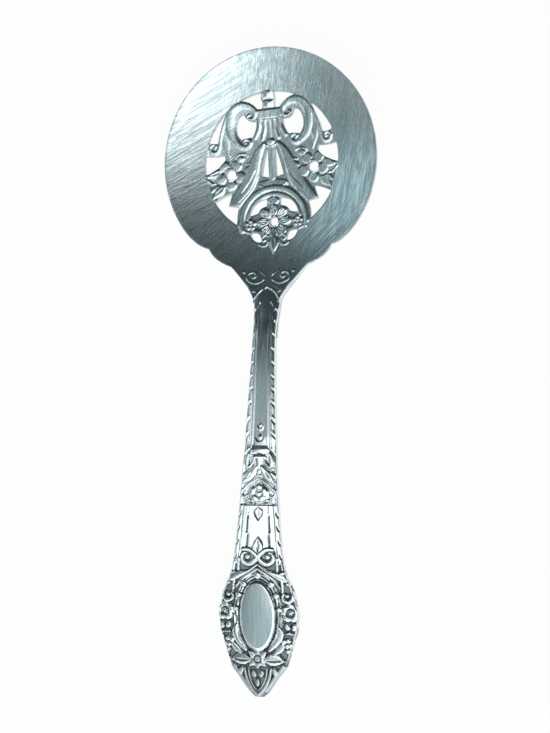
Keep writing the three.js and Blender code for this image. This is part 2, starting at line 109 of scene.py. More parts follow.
COLLAR_REACH = 48
FOOT_REACH = 27
FOOT_TOP = 4.1
CREST_TOP = 4.5
WAIST_TOP = 4.0
COLLAR_Y = TIP + COLLAR_REACH
FOOT_Y = TIP + FOOT_REACH
WAIST_Y = ARCH_BASE + (COLLAR_Y - ARCH_BASE) / 4
CREST_Y = ARCH_BASE + (COLLAR_Y - ARCH_BASE) * 3 / 4


def spine(y):
    """Height of the handle's middle line: up from the tip to a crest, and down into the neck."""
    heights = [HANDLE_THICKNESS, FOOT_TOP, CREST_TOP, WAIST_TOP,
               dish_top(0, ARCH_BASE), dish_top(0, ARCH_APEX)]
    return through([TIP, FOOT_Y, CREST_Y, WAIST_Y, ARCH_BASE, ARCH_APEX], heights, y)


def lap_plane(y):
    """The sloping face on which the handle's end lies over the tab."""
    fall = (spine(TAB_END) - spine(ARCH_APEX)) / TAB_LENGTH
    return spine(ARCH_APEX) - LAP_THICKNESS + fall * (ARCH_APEX - y)


def bend(start, control, end, steps=12):
    """Places along a quadratic curve, without its last one."""
    t = np.arange(steps)[:, None] / steps
    start, control, end = np.array(start), np.array(control), np.array(end)
    return start * (1 - t) ** 2 + control * 2 * t * (1 - t) + end * t ** 2


def at_rim(angle, inset=0.0):
    """A place on the spoon, given by its angle round the bowl and its inset from the rim."""
    reach = BOWL_RADIUS - inset
    return np.array([reach * np.cos(np.radians(angle)), BOWL_Y + reach * np.sin(np.radians(angle))])


def mirrored(half):
    """A closed outline from its right half, which runs from the lowest place to the highest."""
    return np.vstack([half, half[::-1] * [-1, 1]])


neck_flare = (ARCH_HALF + FLARE_REACH / 5, ARCH_BASE + FLARE_REACH)
rim_angles = np.linspace(RIM_END, 90, 160)
bowl_outline = mirrored(np.vstack([
    [[TAB_HALF, TAB_END], [TAB_HALF + 0.1, (TAB_END + ARCH_BASE) / 2]],
    bend((ARCH_HALF, ARCH_BASE), neck_flare, at_rim(*INNER_CUSP)),
    bend(at_rim(*INNER_CUSP), at_rim(*SCALLOP), at_rim(*OUTER_CUSP)),
    bend(at_rim(*OUTER_CUSP), at_rim(*OGEE), at_rim(RIM_END)),
    at_rim(rim_angles).T,
]))
arch_side = bend((ARCH_HALF, ARCH_BASE),
                 (ARCH_HALF / 2 + ARCH_SWELL, ARCH_BASE + ARCH_HEIGHT / 2 + ARCH_SWELL), (0, ARCH_APEX), 24)
arch_outline = mirrored(np.vstack([[[ARCH_HALF, TAB_END - 1]], arch_side, [[0, ARCH_APEX]]]))


def opening(rim, start, legs, closing):
    """Outline of an opening in the panel: along the panel's circle between two angles, or from a
    start, then by legs, straight (u, v) or curved (control u, v, u, v), and closed by a curve."""
    if rim:
        angles = np.radians(np.linspace(rim[0], rim[1], 24))
        points = [PANEL_RADIUS * np.stack([np.cos(angles), np.sin(angles)], 1)]
    else:
        points = [np.array([start])]
    first = points[0][0]
    last = points[0][-1]
    for leg in legs:
        if len(leg) == 4:
            points.append(bend(last, leg[:2], leg[2:])[1:])
        last = np.array(leg[-2:])
        points.append(last[None])
    points.append(bend(last, closing, first)[1:])
    return np.vstack(points)


def circle(u, v, radius, steps=40):
    """Outline of a round hole."""
    angle = 2 * np.pi * np.arange(steps) / steps
    return np.stack([u + radius * np.cos(angle), v + radius * np.sin(angle)], 1)


SIDE_FLOWER = (9.0, -1.6)
FOOT_FLOWER = (0.0, -12.0)
side_openings = [
    # beside the finial, over the scroll
    opening((85, 65.5), None, [(3.6, 12.9, 2.5, 11.2), (1.45, 11.15), (1.1, 12, 1.4, 12.8)], (1.6, 13.4)),
    # the long sliver outside the scroll
    opening((51.5, 21.8), None, [(12.4, 4.9, 11.35, 5.1)], (10.6, 8.2)),
    # the eye inside the scroll
    opening(None, (5.45, 10.55), [(7, 10.4, 7.35, 8.1), (7.5, 6.3, 6.3, 5.35), (5.2, 5.75, 4, 5.6),
                                  (2.75, 7.2, 2.9, 8.85)], (5, 8.6)),
    # between the outer curl and the flower's upper leaf
    opening((10.6, -5.2), None, [(12.4, -0.6, 11.2, 0.35), (10.5, 0.9, 10, 1.7), (10.2, 2.55)], (12.2, 2.3)),
    # between the flower's lower leaf, the ribbon's tip and the arch
    opening((-29, -56.8), None, [(8.1, -10, 7.5, -8.45), (9.75, -8.05), (9.3, -6.9, 8.95, -5.55)],
            (9.9, -5.5)),
    # the slot beside the stem
    opening(None, (0.95, 3.15), [(0.78, 3.1), (0.8, -2.85), (2.4, -2.45)], (1.8, 0.5)),
    # inside the arch, over the lower flower
    opening(None, (1.45, -7.25), [(4.6, -7.3, 5.35, -10.5), (4.2, -10.4, 3.3, -10), (3.2, -9, 1.5, -8.75)],
            (1.4, -8)),
    # below the lower flower
    opening(None, (2.75, -15.6), [(2.9, -14.2, 4.2, -14.1), (5.3, -14, 5.05, -14.6),
                                  (4.4, -16.2, 2.9, -16.2)], (2.6, -16)),
    circle(*SIDE_FLOWER, 1.05),
]
openings = side_openings + [outline * [-1, 1] for outline in side_openings] + [circle(*FOOT_FLOWER, 0.85)]


def inside(outline, x, y):
    """Distance of each place to an outline, positive inside: the least distance to any side, with
    the sign of an even-odd count of the sides that lie to the right."""
    nearest = np.full(x.shape, np.inf)
    within = np.zeros(x.shape, bool)
    for (ax, ay), (bx, by) in zip(outline, np.roll(outline, -1, axis=0)):
        dx, dy = bx - ax, by - ay
        share = np.clip(((x - ax) * dx + (y - ay) * dy) / (dx * dx + dy * dy + 1e-12), 0, 1)
        nearest = np.minimum(nearest, np.hypot(x - ax - share * dx, y - ay - share * dy))
        if dy:
            within ^= ((ay > y) != (by > y)) & (x < ax + dx * (y - ay) / dy)
    return np.where(within, nearest, -nearest)


def smooth_line(places, steps=8):
    """A smooth line through places: cubics with the slope at a place taken from its neighbours."""
    p = np.asarray(places, float)
    if len(p) == 2:
        return p
    p = np.vstack([2 * p[0] - p[1], p, 2 * p[-1] - p[-2]])
    t = (np.arange(steps) / steps)[None, :, None]
    a, b, c, d = p[:-3, None], p[1:-2, None], p[2:-1, None], p[3:, None]
    line = b + t / 2 * (c - a + t * (2 * a - 5 * b + 4 * c - d + t * (3 * (b - c) + d - a)))
    return np.vstack([line.reshape(-1, 2), p[-2:-1]])


def spiral(u, v, outer, inner, start, end, steps=7):
    """Places on a spiral about (u, v), its radius going evenly from outer to inner."""
    share = np.linspace(0, 1, steps)
    angle = np.radians(start + (end - start) * share)
    reach = outer + (inner - outer) * share
    return np.stack([u + reach * np.cos(angle), v + reach * np.sin(angle)], 1).tolist()


def ramp(low, high, value):
    """0 below low, 1 above high, and an even rise between."""
    return np.clip((value - low) / (high - low), 0, 1)


def blended(low, high, value):
    """0 below low, 1 above high, and a smooth step between."""
    t = ramp(low, high, value)
    return t * t * (3 - 2 * t)


class Chasing:
    """Ornament as heights over a set of places. A raised form leaves the larger of its own height
    and what is there, and a cut is taken off what is there. The flank is the width over which a
    form rises from its edge, the crown is the share of its rise that it gains on top, and the
    spread is added to the half-width of every raised form."""

    def __init__(self, x, y, flank, crown):
        self.x, self.y = x, y
        self.flank, self.crown = flank, crown
        self.spread = 0.0
        self.height = np.zeros(x.shape)

    def near(self, u, v, reach):
        """Which places lie within reach of a set of points."""
        u, v = np.atleast_1d(u), np.atleast_1d(v)
        return ((self.x > u.min() - reach) & (self.x < u.max() + reach)
                & (self.y > v.min() - reach) & (self.y < v.max() + reach))

    def put(self, near, inset, width, rise, floor, hollow=0.0):
        """A form given by how far each place lies inside its edge, and by its half-width there. A
        cut has a negative rise. hollow sinks its middle by a share of the rise, as in a petal."""
        width = np.maximum(width, 1e-3)
        if np.min(rise) > 0:
            bulge = blended(0, np.minimum(self.flank, width), inset)
            bulge = bulge * (1 - self.crown * np.clip(1 - inset / width, 0, 1) ** 2)
            bulge = bulge - hollow * blended(0.9 * self.flank, 1.7 * self.flank, inset)
            raised = np.where(inset > 0, floor + rise * bulge, -np.inf)
            self.height[near] = np.maximum(self.height[near], raised)
        else:
            self.height[near] += rise * blended(0, width, inset)

    def line(self, places, widths, rise, floor=0.0):
        """A band along a smooth line, whose half-width runs through widths from end to end."""
        path = smooth_line(places)
        widths = np.atleast_1d(widths) + (self.spread if rise > 0 else 0)
        near = self.near(path[:, 0], path[:, 1], widths.max())
        x, y = self.x[near], self.y[near]
        nearest = np.full(x.shape, np.inf)
        share = np.zeros(x.shape)
        run = np.r_[0, np.cumsum(np.hypot(*np.diff(path, axis=0).T))]
        for (ax, ay), (bx, by), gone, go in zip(path, path[1:], run, run[1:]):
            dx, dy = bx - ax, by - ay
            t = np.clip(((x - ax) * dx + (y - ay) * dy) / (dx * dx + dy * dy + 1e-12), 0, 1)
            away = np.hypot(x - ax - t * dx, y - ay - t * dy)
            share = np.where(away < nearest, (gone + t * (go - gone)) / run[-1], share)
            nearest = np.minimum(nearest, away)
        width = np.interp(share, np.linspace(0, 1, len(widths)), widths)
        self.put(near, width - nearest, width, rise, floor)

    def bead(self, u, v, across, along, rise, turn=0.0, hollow=0.0, floor=0.0):
        """A low boss on an ellipse, turned by an angle."""
        across, along = across + self.spread, along + self.spread
        near = self.near(u, v, max(across, along))
        x, y = self.x[near] - u, self.y[near] - v
        c, s = np.cos(np.radians(turn)), np.sin(np.radians(turn))
        out = np.hypot((x * c + y * s) / across, (y * c - x * s) / along)
        width = min(across, along)
        self.put(near, (1 - out) * width, width, rise, floor, hollow)

    def petals(self, u, v, count, reach, across, along, rise, first=90.0, hollow=0.0, floor=0.0):
        """Petals round an eye, each a boss whose long side points outwards."""
        for angle in first + 360 * np.arange(count) / count:
            a = np.radians(angle)
            petal = u + reach * np.cos(a), v + reach * np.sin(a)
            self.bead(*petal, along, across, rise, angle, hollow, floor)

    def ring(self, u, v, radius, width, rise, floor=0.0):
        """A band along a circle."""
        self.line(np.vstack([circle(u, v, radius, 12), [[u + radius, v]]]), width, rise, floor)

    def leaf(self, places, width, rise, floor=0.0, vein=0.0):
        """A leaf along a line, widest a third of the way, with a cut vein down its middle."""
        self.line(places, (0.25 * width, 0.9 * width, width, 0.75 * width, 0.35 * width, 0.02), rise, floor)
        if vein:
            self.line(places, (0.1, 0.16, 0.12, 0.02), -vein)


def spaced(*stretches):
    """Rising places in stretches (from, to, step), each divided evenly."""
    runs = [np.linspace(a, b, int(np.ceil((b - a) / step)), endpoint=False) for a, b, step in stretches]
    return np.concatenate(runs + [[stretches[-1][1]]])


def soften(values, passes):
    """Values spread over their neighbours: each pass takes a quarter, a half and a quarter."""
    values = values.copy()
    for _ in range(passes):
        values[1:-1] = (values[:-2] + 2 * values[1:-1] + values[2:]) / 4
        values[:, 1:-1] = (values[:, :-2] + 2 * values[:, 1:-1] + values[:, 2:]) / 4
    return values


CHASING_DEPTH = 0.75
NECK_DEPTH = 0.8


def panel_ornament(x, y):
    """Heights of the openwork panel's chasing, which is the same on both sides of its own axis."""
    c, s = np.cos(PANEL_TURN), np.sin(PANEL_TURN)
    u, v = x * c + (y - BOWL_Y) * s, (y - BOWL_Y) * c - x * s
    work = Chasing(np.abs(u), v, flank=0.3, crown=0.35)
    ground = -0.16
    ground_radius = PANEL_RADIUS - 0.4
    work.height += ground * ramp(0, 0.3, ground_radius - np.hypot(u, v))
    # scroll from the urn's shoulder round the eye, with a curl at both ends
    work.line([(4.35, 10.15), (4.7, 9.7), (4.2, 9.25), (3.4, 9.35), (3.0, 10.2), (3.35, 11.2), (4.5, 11.95),
               (6.1, 12.1), (7.6, 11.3), (8.4, 9.9), (8.6, 8.2), (8.3, 6.4), (7.5, 4.9), (6.4, 3.95),
               (5.3, 3.7), (4.5, 4.3), (4.6, 5.05), (5.3, 5.25), (5.8, 4.9), (5.5, 4.5)],
              (0.35, 0.55, 0.8, 1.0, 1.1, 1.05, 0.75, 0.5, 0.3), 0.36, ground)
    # outer branch, down to the curl at the panel's edge, and the plain leaf beside it
    work.line([(8.5, 10.9), (9.7, 9.2), (10.45, 7.2), (10.95, 5.6), (11.15, 4.3), (11.8, 3.25), (12.8, 3.3),
               (13.15, 4.2), (12.6, 4.85), (11.95, 4.6), (12.1, 4.0)], (0.35, 0.6, 0.55, 0.5, 0.42, 0.3),
              0.32, ground)
    work.leaf([(9.0, 9.3), (9.6, 6.5), (9.6, 4.0), (8.9, 1.7)], 1.1, 0.2, ground)
    # urn: a flat bar with a thin lip, a ridged finial over it and broad flutes under it
    inset = np.minimum(3.0 - work.x, 1.1 - np.abs(v - 10.0))
    work.put(inset > 0, inset[inset > 0], 0.4, 0.26, ground)
    work.line([(0, 8.85), (1.6, 8.85), (3.1, 9.0)], (0.2, 0.2, 0.16), 0.42, ground)
    for low_v, high_v in ((11.15, 12.8), (12.95, 14.7)):
        inset = np.minimum(1.3 - work.x, np.minimum(v - low_v, high_v - v))
        work.put(inset > 0, inset[inset > 0], 1.0, 0.44 - 0.26 * work.x[inset > 0], ground)
    work.line([(0, 8.6), (0, 5.1)], (0.4, 0.42), 0.26, ground)
    work.line([(1.05, 8.6), (1.15, 7.0), (1.75, 5.0)], (0.42, 0.46, 0.4), 0.3, ground)
    work.line([(2.2, 8.6), (2.35, 7.3), (3.3, 5.4)], (0.45, 0.55, 0.4), 0.3, ground)
    # knob, its collar, and the plain stem between the slots
    work.line([(0, 3.4), (1.3, 3.8)], (0.3, 0.25), 0.3, ground)
    work.line([(0, 3.2), (0, -2.9)], (0.65, 0.85), 0.22, ground)
    work.bead(0, 4.35, 0.95, 0.85, 0.4, floor=ground)
    # ribbon: a broad flat fall with a cut rib, down to its slanting tip
    work.line([(1.5, 4.0), (2.5, 2.8), (3.4, 0.9), (4.4, -1.7), (5.3, -3.8), (6.7, -5.8), (8.4, -7.9)],
              (0.5, 0.95, 1.3, 1.6, 1.6, 1.45, 1.3), 0.34, ground)
    work.line([(3.6, -1.5), (4.9, -3.6), (6.7, -5.7)], (0.12, 0.24, 0.1), -0.17)
    work.line([(2.05, 2.6), (2.5, 0.6), (3.15, -1.9), (4.3, -4.4), (5.9, -6.3), (7.4, -7.6)],
              (0.1, 0.2, 0.2, 0.2, 0.1), -0.12)
    # bed under the slots, with a small bright fold
    work.line([(0, -4.3), (2.4, -4.4)], (1.3, 1.0), 0.16, ground)
    work.line([(1.9, -4.9), (2.5, -4.6), (3.1, -4.2)], (0.1, 0.26, 0.1), 0.34, ground)
    # side flower with its leaves, and the buds beside it
    work.leaf([(11.0, -0.7), (12.6, -1.3), (14.4, -1.8)], 1.0, 0.3, ground, 0.1)
    work.line([(11.9, -3.3), (13.2, -3.1), (14.3, -2.1)], (0.15, 0.3, 0.2), 0.36, ground)
    work.leaf([(10.4, -4.0), (11.6, -4.8), (13.0, -6.4)], 1.1, 0.3, ground, 0.1)
    work.leaf([(11.4, -3.6), (12.6, -4.3), (13.6, -5.2)], 0.7, 0.26, ground)
    work.petals(*SIDE_FLOWER, 5, 2.15, 1.22, 1.2, 0.36, -90, 0.12, ground)
    work.ring(*SIDE_FLOWER, 1.25, 0.22, 0.42, ground)
    work.bead(5.1, -1.0, 0.95, 0.9, 0.34, hollow=0.08, floor=ground)
    work.line([(3.3, -0.9), (3.8, -0.2), (4.6, 0.35), (5.6, 0.3)], (0.15, 0.28, 0.12), 0.36, ground)
    work.bead(6.8, 1.45, 0.95, 0.8, 0.34, floor=ground)
    work.line([(5.2, 2.0), (6.0, 2.4), (7.2, 2.2), (7.9, 1.6)], (0.15, 0.3, 0.12), 0.32, ground)
    # horseshoe arch round the lower flower: a flat band with a lower inner bevel
    work.line(spiral(0, -12, 6.9, 6.95, 90, -12, 9), (0.75, 0.75, 0.7), 0.34, ground)
    work.line(spiral(0, -12, 5.65, 5.7, 90, 8, 9), (0.6, 0.6, 0.4), 0.2, ground)
    work.line([(7.45, -12.4), (6.7, -13.5), (5.0, -14.15)], (0.36, 0.32, 0.25), 0.36, ground)
    work.bead(0, -7.7, 1.35, 0.95, 0.32, hollow=0.25, floor=ground)
    bud = (5.1, -12.35)
    work.petals(*bud, 5, 0.75, 0.62, 0.62, 0.32, 90, 0.0, ground)
    work.bead(*bud, 0.4, 0.4, 0.42, floor=ground)
    # lower flower: eight veined petals round its eye
    work.petals(*FOOT_FLOWER, 8, 2.45, 1.0, 1.4, 0.36, 90, 0.1, ground)
    for angle in np.radians(np.arange(8)[:, None] * 45 + 90 + np.array([[-9, 0, 9]])).ravel():
        along = np.array([np.cos(angle), np.sin(angle)])
        work.line([FOOT_FLOWER + 1.4 * along, FOOT_FLOWER + 3.2 * along], (0.09, 0.15, 0.05), -0.16)
    work.ring(*FOOT_FLOWER, 1.05, 0.2, 0.38, ground)
    # curls and leaf that hang from the flower
    work.line([(1.2, -15.0), (2.0, -14.8), (2.6, -15.4), (2.2, -16.0), (1.7, -15.7)],
              (0.3, 0.35, 0.2), 0.32, ground)
    work.line([(1.2, -16.0), (1.6, -16.9), (2.6, -17.0), (3.3, -16.6)], (0.2, 0.32, 0.15), 0.34, ground)
    work.leaf([(0, -15.0), (0, -16.6), (0, -18.9)], 1.15, 0.24, 0.0, 0.12)
    return CHASING_DEPTH * work.height


def neck_ornament(x, y):
    """Heights of the small scrolls chased on the neck, on both sides of the handle's point."""
    work = Chasing(np.abs(x), y, flank=0.25, crown=0.3)
    work.line([(0.8, 18.0), (1.7, 17.45), (2.7, 17.2), (3.9, 17.6), (4.6, 18.4), (4.2, 19.3), (3.2, 19.5),
               (2.6, 18.9), (3.1, 18.3), (3.7, 18.7)], (0.16, 0.28, 0.32, 0.28, 0.22, 0.14), 0.13)
    work.line([(2.5, 14.9), (3.2, 15.5), (4.0, 16.5), (5.0, 17.6)], (0.1, 0.24, 0.22, 0.08), 0.09)
    work.line([(0.6, 17.2), (1.6, 16.5), (2.6, 16.0), (3.3, 16.5)], (0.08, 0.22, 0.1), 0.08)
    work.bead(5.3, 19.6, 0.45, 0.32, 0.16, 20)
    work.line([(0.5, 18.6), (1.2, 19.2), (2.0, 19.9)], (0.05, 0.2, 0.05), 0.1)
    work.line([(2.3, 15.2), (2.75, 15.45), (3.2, 15.6)], (0.1, 0.24, 0.1), 0.18)
    return NECK_DEPTH * work.height


FINE_STEP = 0.175
PLAIN_STEP = 0.42
TAB_STEP = 0.5
MARGIN = 0.2
TAB_MARGIN = 0.3
FINE_SIDE = 15.4
FINE_START = ARCH_BASE - 0.8
FINE_END = 57.6
grid_x = spaced((-BOWL_RADIUS - MARGIN, -FINE_SIDE, PLAIN_STEP), (-FINE_SIDE, FINE_SIDE, FINE_STEP),
                (FINE_SIDE, BOWL_RADIUS + MARGIN, PLAIN_STEP))
grid_y = spaced((TAB_END - TAB_MARGIN, FINE_START, TAB_STEP), (FINE_START, FINE_END, FINE_STEP),
                (FINE_END, FAR_RIM + MARGIN, PLAIN_STEP))
sheet_x, sheet_y = np.meshgrid(grid_x, grid_y)
metal = inside(bowl_outline, sheet_x, sheet_y)
turn = np.array([[np.cos(PANEL_TURN), np.sin(PANEL_TURN)], [-np.sin(PANEL_TURN), np.cos(PANEL_TURN)]])
for outline in openings:
    outline = outline @ turn + [0, BOWL_Y]
    low, high = outline.min(0) - 1, outline.max(0) + 1
    near = (sheet_x > low[0]) & (sheet_x < high[0]) & (sheet_y > low[1]) & (sheet_y < high[1])
    metal[near] = np.minimum(metal[near], -inside(outline, sheet_x[near], sheet_y[near]))
lap = inside(arch_outline, sheet_x, sheet_y)


def settle_on(edge, x, y, pull):
    """Moves the places nearest an edge onto it, down the slope of their distance from it."""
    slope_y, slope_x = np.gradient(edge, grid_y, grid_x)
    steep = np.maximum(slope_x ** 2 + slope_y ** 2, 0.3)
    on_edge = np.abs(edge) < pull * np.minimum(np.gradient(grid_x)[None, :], np.gradient(grid_y)[:, None])
    moved = np.where(on_edge, edge / steep, 0)
    return x - moved * slope_x, y - moved * slope_y, on_edge


sheet_x, sheet_y, on_lap = settle_on(lap, sheet_x, sheet_y, pull=0.5)
sheet_x, sheet_y, on_metal = settle_on(metal, sheet_x, sheet_y, pull=0.42)
metal[on_metal] = 0
under_handle = (lap > 0) & ~on_lap
chased = panel_ornament(sheet_x, sheet_y) + neck_ornament(sheet_x, sheet_y)
recess = soften(chased, passes=8) - chased


def trimmed(x, y, keep, fields):
    """Triangles over the part of a grid where keep is positive. A cell that the edge crosses gets a
    point on each crossed side, where keep is zero by even division, and is filled fan-wise. Fields
    are carried to the new points the same way."""
    rows, columns = keep.shape
    count = keep.size
    grid = np.arange(count).reshape(rows, columns)
    flat = [values.ravel() for values in (x, y, keep, *fields)]
    cross = keep[:, :-1] * keep[:, 1:] < 0
    rise = keep[:-1] * keep[1:] < 0
    side_ids = np.full(cross.shape, -1)
    side_ids[cross] = count + np.arange(cross.sum())
    up_ids = np.full(rise.shape, -1)
    up_ids[rise] = count + cross.sum() + np.arange(rise.sum())
    start = np.r_[grid[:, :-1][cross], grid[:-1][rise]]
    end = np.r_[grid[:, 1:][cross], grid[1:][rise]]
    share = flat[2][start] / (flat[2][start] - flat[2][end])
    flat = [np.r_[values, values[start] + share * (values[end] - values[start])] for values in flat]
    kept = np.where(keep >= 0, grid, -1)
    cells = np.stack([kept[:-1, :-1], side_ids[:-1], kept[:-1, 1:], up_ids[:, 1:],
                      kept[1:, 1:], side_ids[1:], kept[1:, :-1], up_ids[:, :-1]], -1).reshape(-1, 8)
    filled = (cells >= 0).sum(1)
    triangles = []
    for corners in range(3, 9):
        polygons = cells[filled == corners]
        polygons = polygons[polygons >= 0].reshape(-1, corners)
        triangles += [polygons[:, [0, i, i + 1]] for i in range(1, corners - 1)]
    triangles = np.vstack(triangles)
    used, triangles = np.unique(triangles, return_inverse=True)
    return [values[used] for values in flat], triangles.reshape(-1, 3)


(bowl_x, bowl_y, rim_reach, chased, recess, lapped), bowl_faces = trimmed(
    sheet_x, sheet_y, metal, (chased, recess, under_handle.astype(float)))
EDGE_ROUND = 0.3
EDGE_DROP = 0.03
neck_top = spine(bowl_y) + dish_top(bowl_x, ARCH_APEX) - dish_top(0, ARCH_APEX)
plain_top = np.where(bowl_y < ARCH_APEX, neck_top, dish_top(bowl_x, bowl_y))
thinned = blended(ARCH_APEX, BOWL_Y - BOWL_RADIUS + ARCH_GAP, bowl_y)
thickness = HANDLE_THICKNESS + (SHEET - HANDLE_THICKNESS) * thinned
at_edge = 1 - ramp(0, EDGE_ROUND, rim_reach)
rounding = at_edge ** 2
bowl_under = np.maximum(plain_top - thickness + EDGE_DROP * rounding, 0)
bowl_top = plain_top + chased * (lapped < 0.5) - EDGE_DROP * rounding
bowl_top = np.where(lapped > 0.5, lap_plane(bowl_y) - SOLDER_THICKNESS, bowl_top)


def closed_sheet(x, y, top, under, faces):
    """Upper faces, the same faces turned over below, and a wall along every open edge."""
    count = len(x)
    points = np.vstack([np.stack([x, y, top], 1), np.stack([x, y, under], 1)])
    start = faces.ravel()
    end = np.roll(faces, -1, axis=1).ravel()
    lone = ~np.isin(start * count + end, end * count + start)
    a, b = start[lone], end[lone]
    return points, [np.vstack([faces, faces[:, ::-1] + count]), np.stack([a, a + count, b + count, b], 1)]


SHARP_ANGLE = np.radians(48)


def make_piece(name, points, faces, patina, material):
    """A mesh object from points in millimetres and groups of faces, with its tarnish as an attribute."""
    loops = np.concatenate([group.ravel() for group in faces])
    sizes = np.concatenate([np.full(len(group), group.shape[1]) for group in faces])
    mesh = bpy.data.meshes.new(name)
    mesh.vertices.add(len(points))
    mesh.vertices.foreach_set("co", (points * MM).astype(np.float32).ravel())
    mesh.loops.add(len(loops))
    mesh.loops.foreach_set("vertex_index", loops.astype(np.int32))
    mesh.polygons.add(len(sizes))
    mesh.polygons.foreach_set("loop_start", np.r_[0, np.cumsum(sizes)[:-1]].astype(np.int32))
    mesh.update(calc_edges=True)
    mesh.validate()
    mesh.attributes.new("patina", "FLOAT", "POINT").data.foreach_set("value", patina.astype(np.float32))
    mesh.shade_smooth()
    mesh.set_sharp_from_angle(angle=SHARP_ANGLE)
    mesh.materials.append(material)
    piece = bpy.data.objects.new(name, mesh)
    bpy.context.scene.collection.objects.link(piece)
    return piece


def node(tree, kind, **values):
    """A shader node with the given sockets and properties set."""
    made = tree.nodes.new(kind)
    for name, value in values.items():
        socket = made.inputs.get(name.replace("_", " "))
        if socket is not None:
            socket.default_value = value
        else:
            setattr(made, name, value)
    return made


def streaks(tree, place, turn, across, along):
    """Fine scratches: noise on Object coordinates, turned to run along x and drawn out there, with
    the scratches' width and length in millimetres."""
    mapping = node(tree, "ShaderNodeMapping", vector_type="TEXTURE", Rotation=(0, 0, np.radians(turn)),
                   Scale=(along * MM, across * MM, across * MM))
    noise = node(tree, "ShaderNodeTexNoise", Scale=1.0, Detail=3.0, Roughness=0.65)
    tree.links.new(place, mapping.inputs["Vector"])
    tree.links.new(mapping.outputs["Vector"], noise.inputs["Vector"])
    return noise.outputs["Fac"]


def ranged(tree, value, low, high, to_low, to_high):
    """A value taken from one range to another, held at its ends."""
    step = node(tree, "ShaderNodeMapRange", clamp=True)
    for name, number in (("From Min", low), ("From Max", high), ("To Min", to_low), ("To Max", to_high)):
        step.inputs[name].default_value = number
    tree.links.new(value, step.inputs["Value"])
    return step.outputs["Result"]


def mixed(tree, share, first, second):
    """A number between two values or sockets."""
    mix = node(tree, "ShaderNodeMix", data_type="FLOAT")
    tree.links.new(share, mix.inputs[0])
    for socket, value in ((mix.inputs[2], first), (mix.inputs[3], second)):
        if isinstance(value, (int, float)):
            socket.default_value = value
        else:
            tree.links.new(value, socket)
    return mix.outputs[0]


def tinted(tree, share, first, second):
    """A colour between two colours or sockets."""
    mix = node(tree, "ShaderNodeMix", data_type="RGBA")
    tree.links.new(share, mix.inputs[0])
    for socket, value in ((mix.inputs[6], first), (mix.inputs[7], second)):
        if isinstance(value, tuple):
            socket.default_value = value
        else:
            tree.links.new(value, socket)
    return mix.outputs[2]


OXIDE = (0.12, 0.128, 0.13, 1)
TURN_ACROSS = (-14 * MM, 2 * MM)
TURN_DOWN = (36 * MM, 28 * MM)
SCRATCH_DEPTH = 0.02 * MM
HAIRLINE_DEPTH = 0.008 * MM
HAIRLINE_STRENGTH = 0.6
OXIDE_ROUGHNESS = 0.5
WORN_ROUGHNESS = 0.16


def silver_plate(name, bright, dull, polish, scratch, turns):
    """Silver plate: bright metal, greyer in patches drawn out along the scratches, dark in the recesses
    that polishing does not reach, with scratches in three directions as bump and in its gloss."""
    material = bpy.data.materials.new(name)
    material.use_nodes = True
    tree = material.node_tree
    shader = tree.nodes["Principled BSDF"]
    shader.inputs["Metallic"].default_value = 1.0
    place = node(tree, "ShaderNodeTexCoord").outputs["Object"]
    patina = node(tree, "ShaderNodeAttribute", attribute_name="patina").outputs["Fac"]
    split = node(tree, "ShaderNodeSeparateXYZ")
    tree.links.new(place, split.inputs["Vector"])
    # the scratches turn from the left side to the right one, and again towards the neck
    right = ranged(tree, split.outputs["X"], *TURN_ACROSS, 0.0, 1.0)
    left_wear, right_wear = streaks(tree, place, turns[0], 0.5, 12), streaks(tree, place, turns[1], 0.5, 14)
    upper = mixed(tree, right, left_wear, right_wear)
    lower = ranged(tree, split.outputs["Y"], *TURN_DOWN, 0.0, 1.0)
    wear = mixed(tree, lower, upper, streaks(tree, place, turns[2], 0.38, 12))
    fine = streaks(tree, place, turns[1], 0.15, 6)
    left_cloud, right_cloud = streaks(tree, place, turns[0], 1.4, 9), streaks(tree, place, turns[1], 1.4, 12)
    cloudy = ranged(tree, mixed(tree, right, left_cloud, right_cloud), 0.42, 0.6, 0.0, 0.6)
    worn = ranged(tree, wear, 0.45, 0.58, 0.0, 1.0)
    plate = tinted(tree, mixed(tree, worn, cloudy, 1.0), bright, dull)
    tree.links.new(tinted(tree, patina, plate, OXIDE), shader.inputs["Base Color"])
    gloss = ranged(tree, wear, 0.35, 0.75, polish, polish + WORN_ROUGHNESS)
    tree.links.new(mixed(tree, patina, gloss, OXIDE_ROUGHNESS), shader.inputs["Roughness"])
    coarse = node(tree, "ShaderNodeBump", Strength=scratch, Distance=SCRATCH_DEPTH)
    tree.links.new(wear, coarse.inputs["Height"])
    bump = node(tree, "ShaderNodeBump", Strength=scratch * HAIRLINE_STRENGTH, Distance=HAIRLINE_DEPTH)
    tree.links.new(fine, bump.inputs["Height"])
    tree.links.new(coarse.outputs["Normal"], bump.inputs["Normal"])
    tree.links.new(bump.outputs["Normal"], shader.inputs["Normal"])
    return material


bowl_silver = silver_plate("bowl_silver", bright=(0.88, 0.94, 0.94, 1), dull=(0.5, 0.59, 0.61, 1),
                           polish=0.2, scratch=1.8, turns=(27, 80, 46))
bowl_points, bowl_groups = closed_sheet(bowl_x, bowl_y, bowl_top, bowl_under, bowl_faces)
GROUND_TARNISH = 0.08
EDGE_DARKENING = 0.5
BRIGHT_NECK_END = ARCH_APEX + 5
# patina: tarnish in the recesses and on the sunk ground, and a band that is made darker along the rim and
# round every opening; none near the neck
bowl_patina = np.maximum(ramp(0.03, 0.15, recess), GROUND_TARNISH * ramp(0.05, 0.11, -chased))
bowl_patina = np.maximum(bowl_patina, EDGE_DARKENING * at_edge) * (bowl_y > BRIGHT_NECK_END)
bowl_patina = np.r_[bowl_patina, np.zeros(len(bowl_x))]
bowl = make_piece("chased_bowl", bowl_points, bowl_groups, bowl_patina, bowl_silver)
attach(bowl, "root")
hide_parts("pierced_bowl")

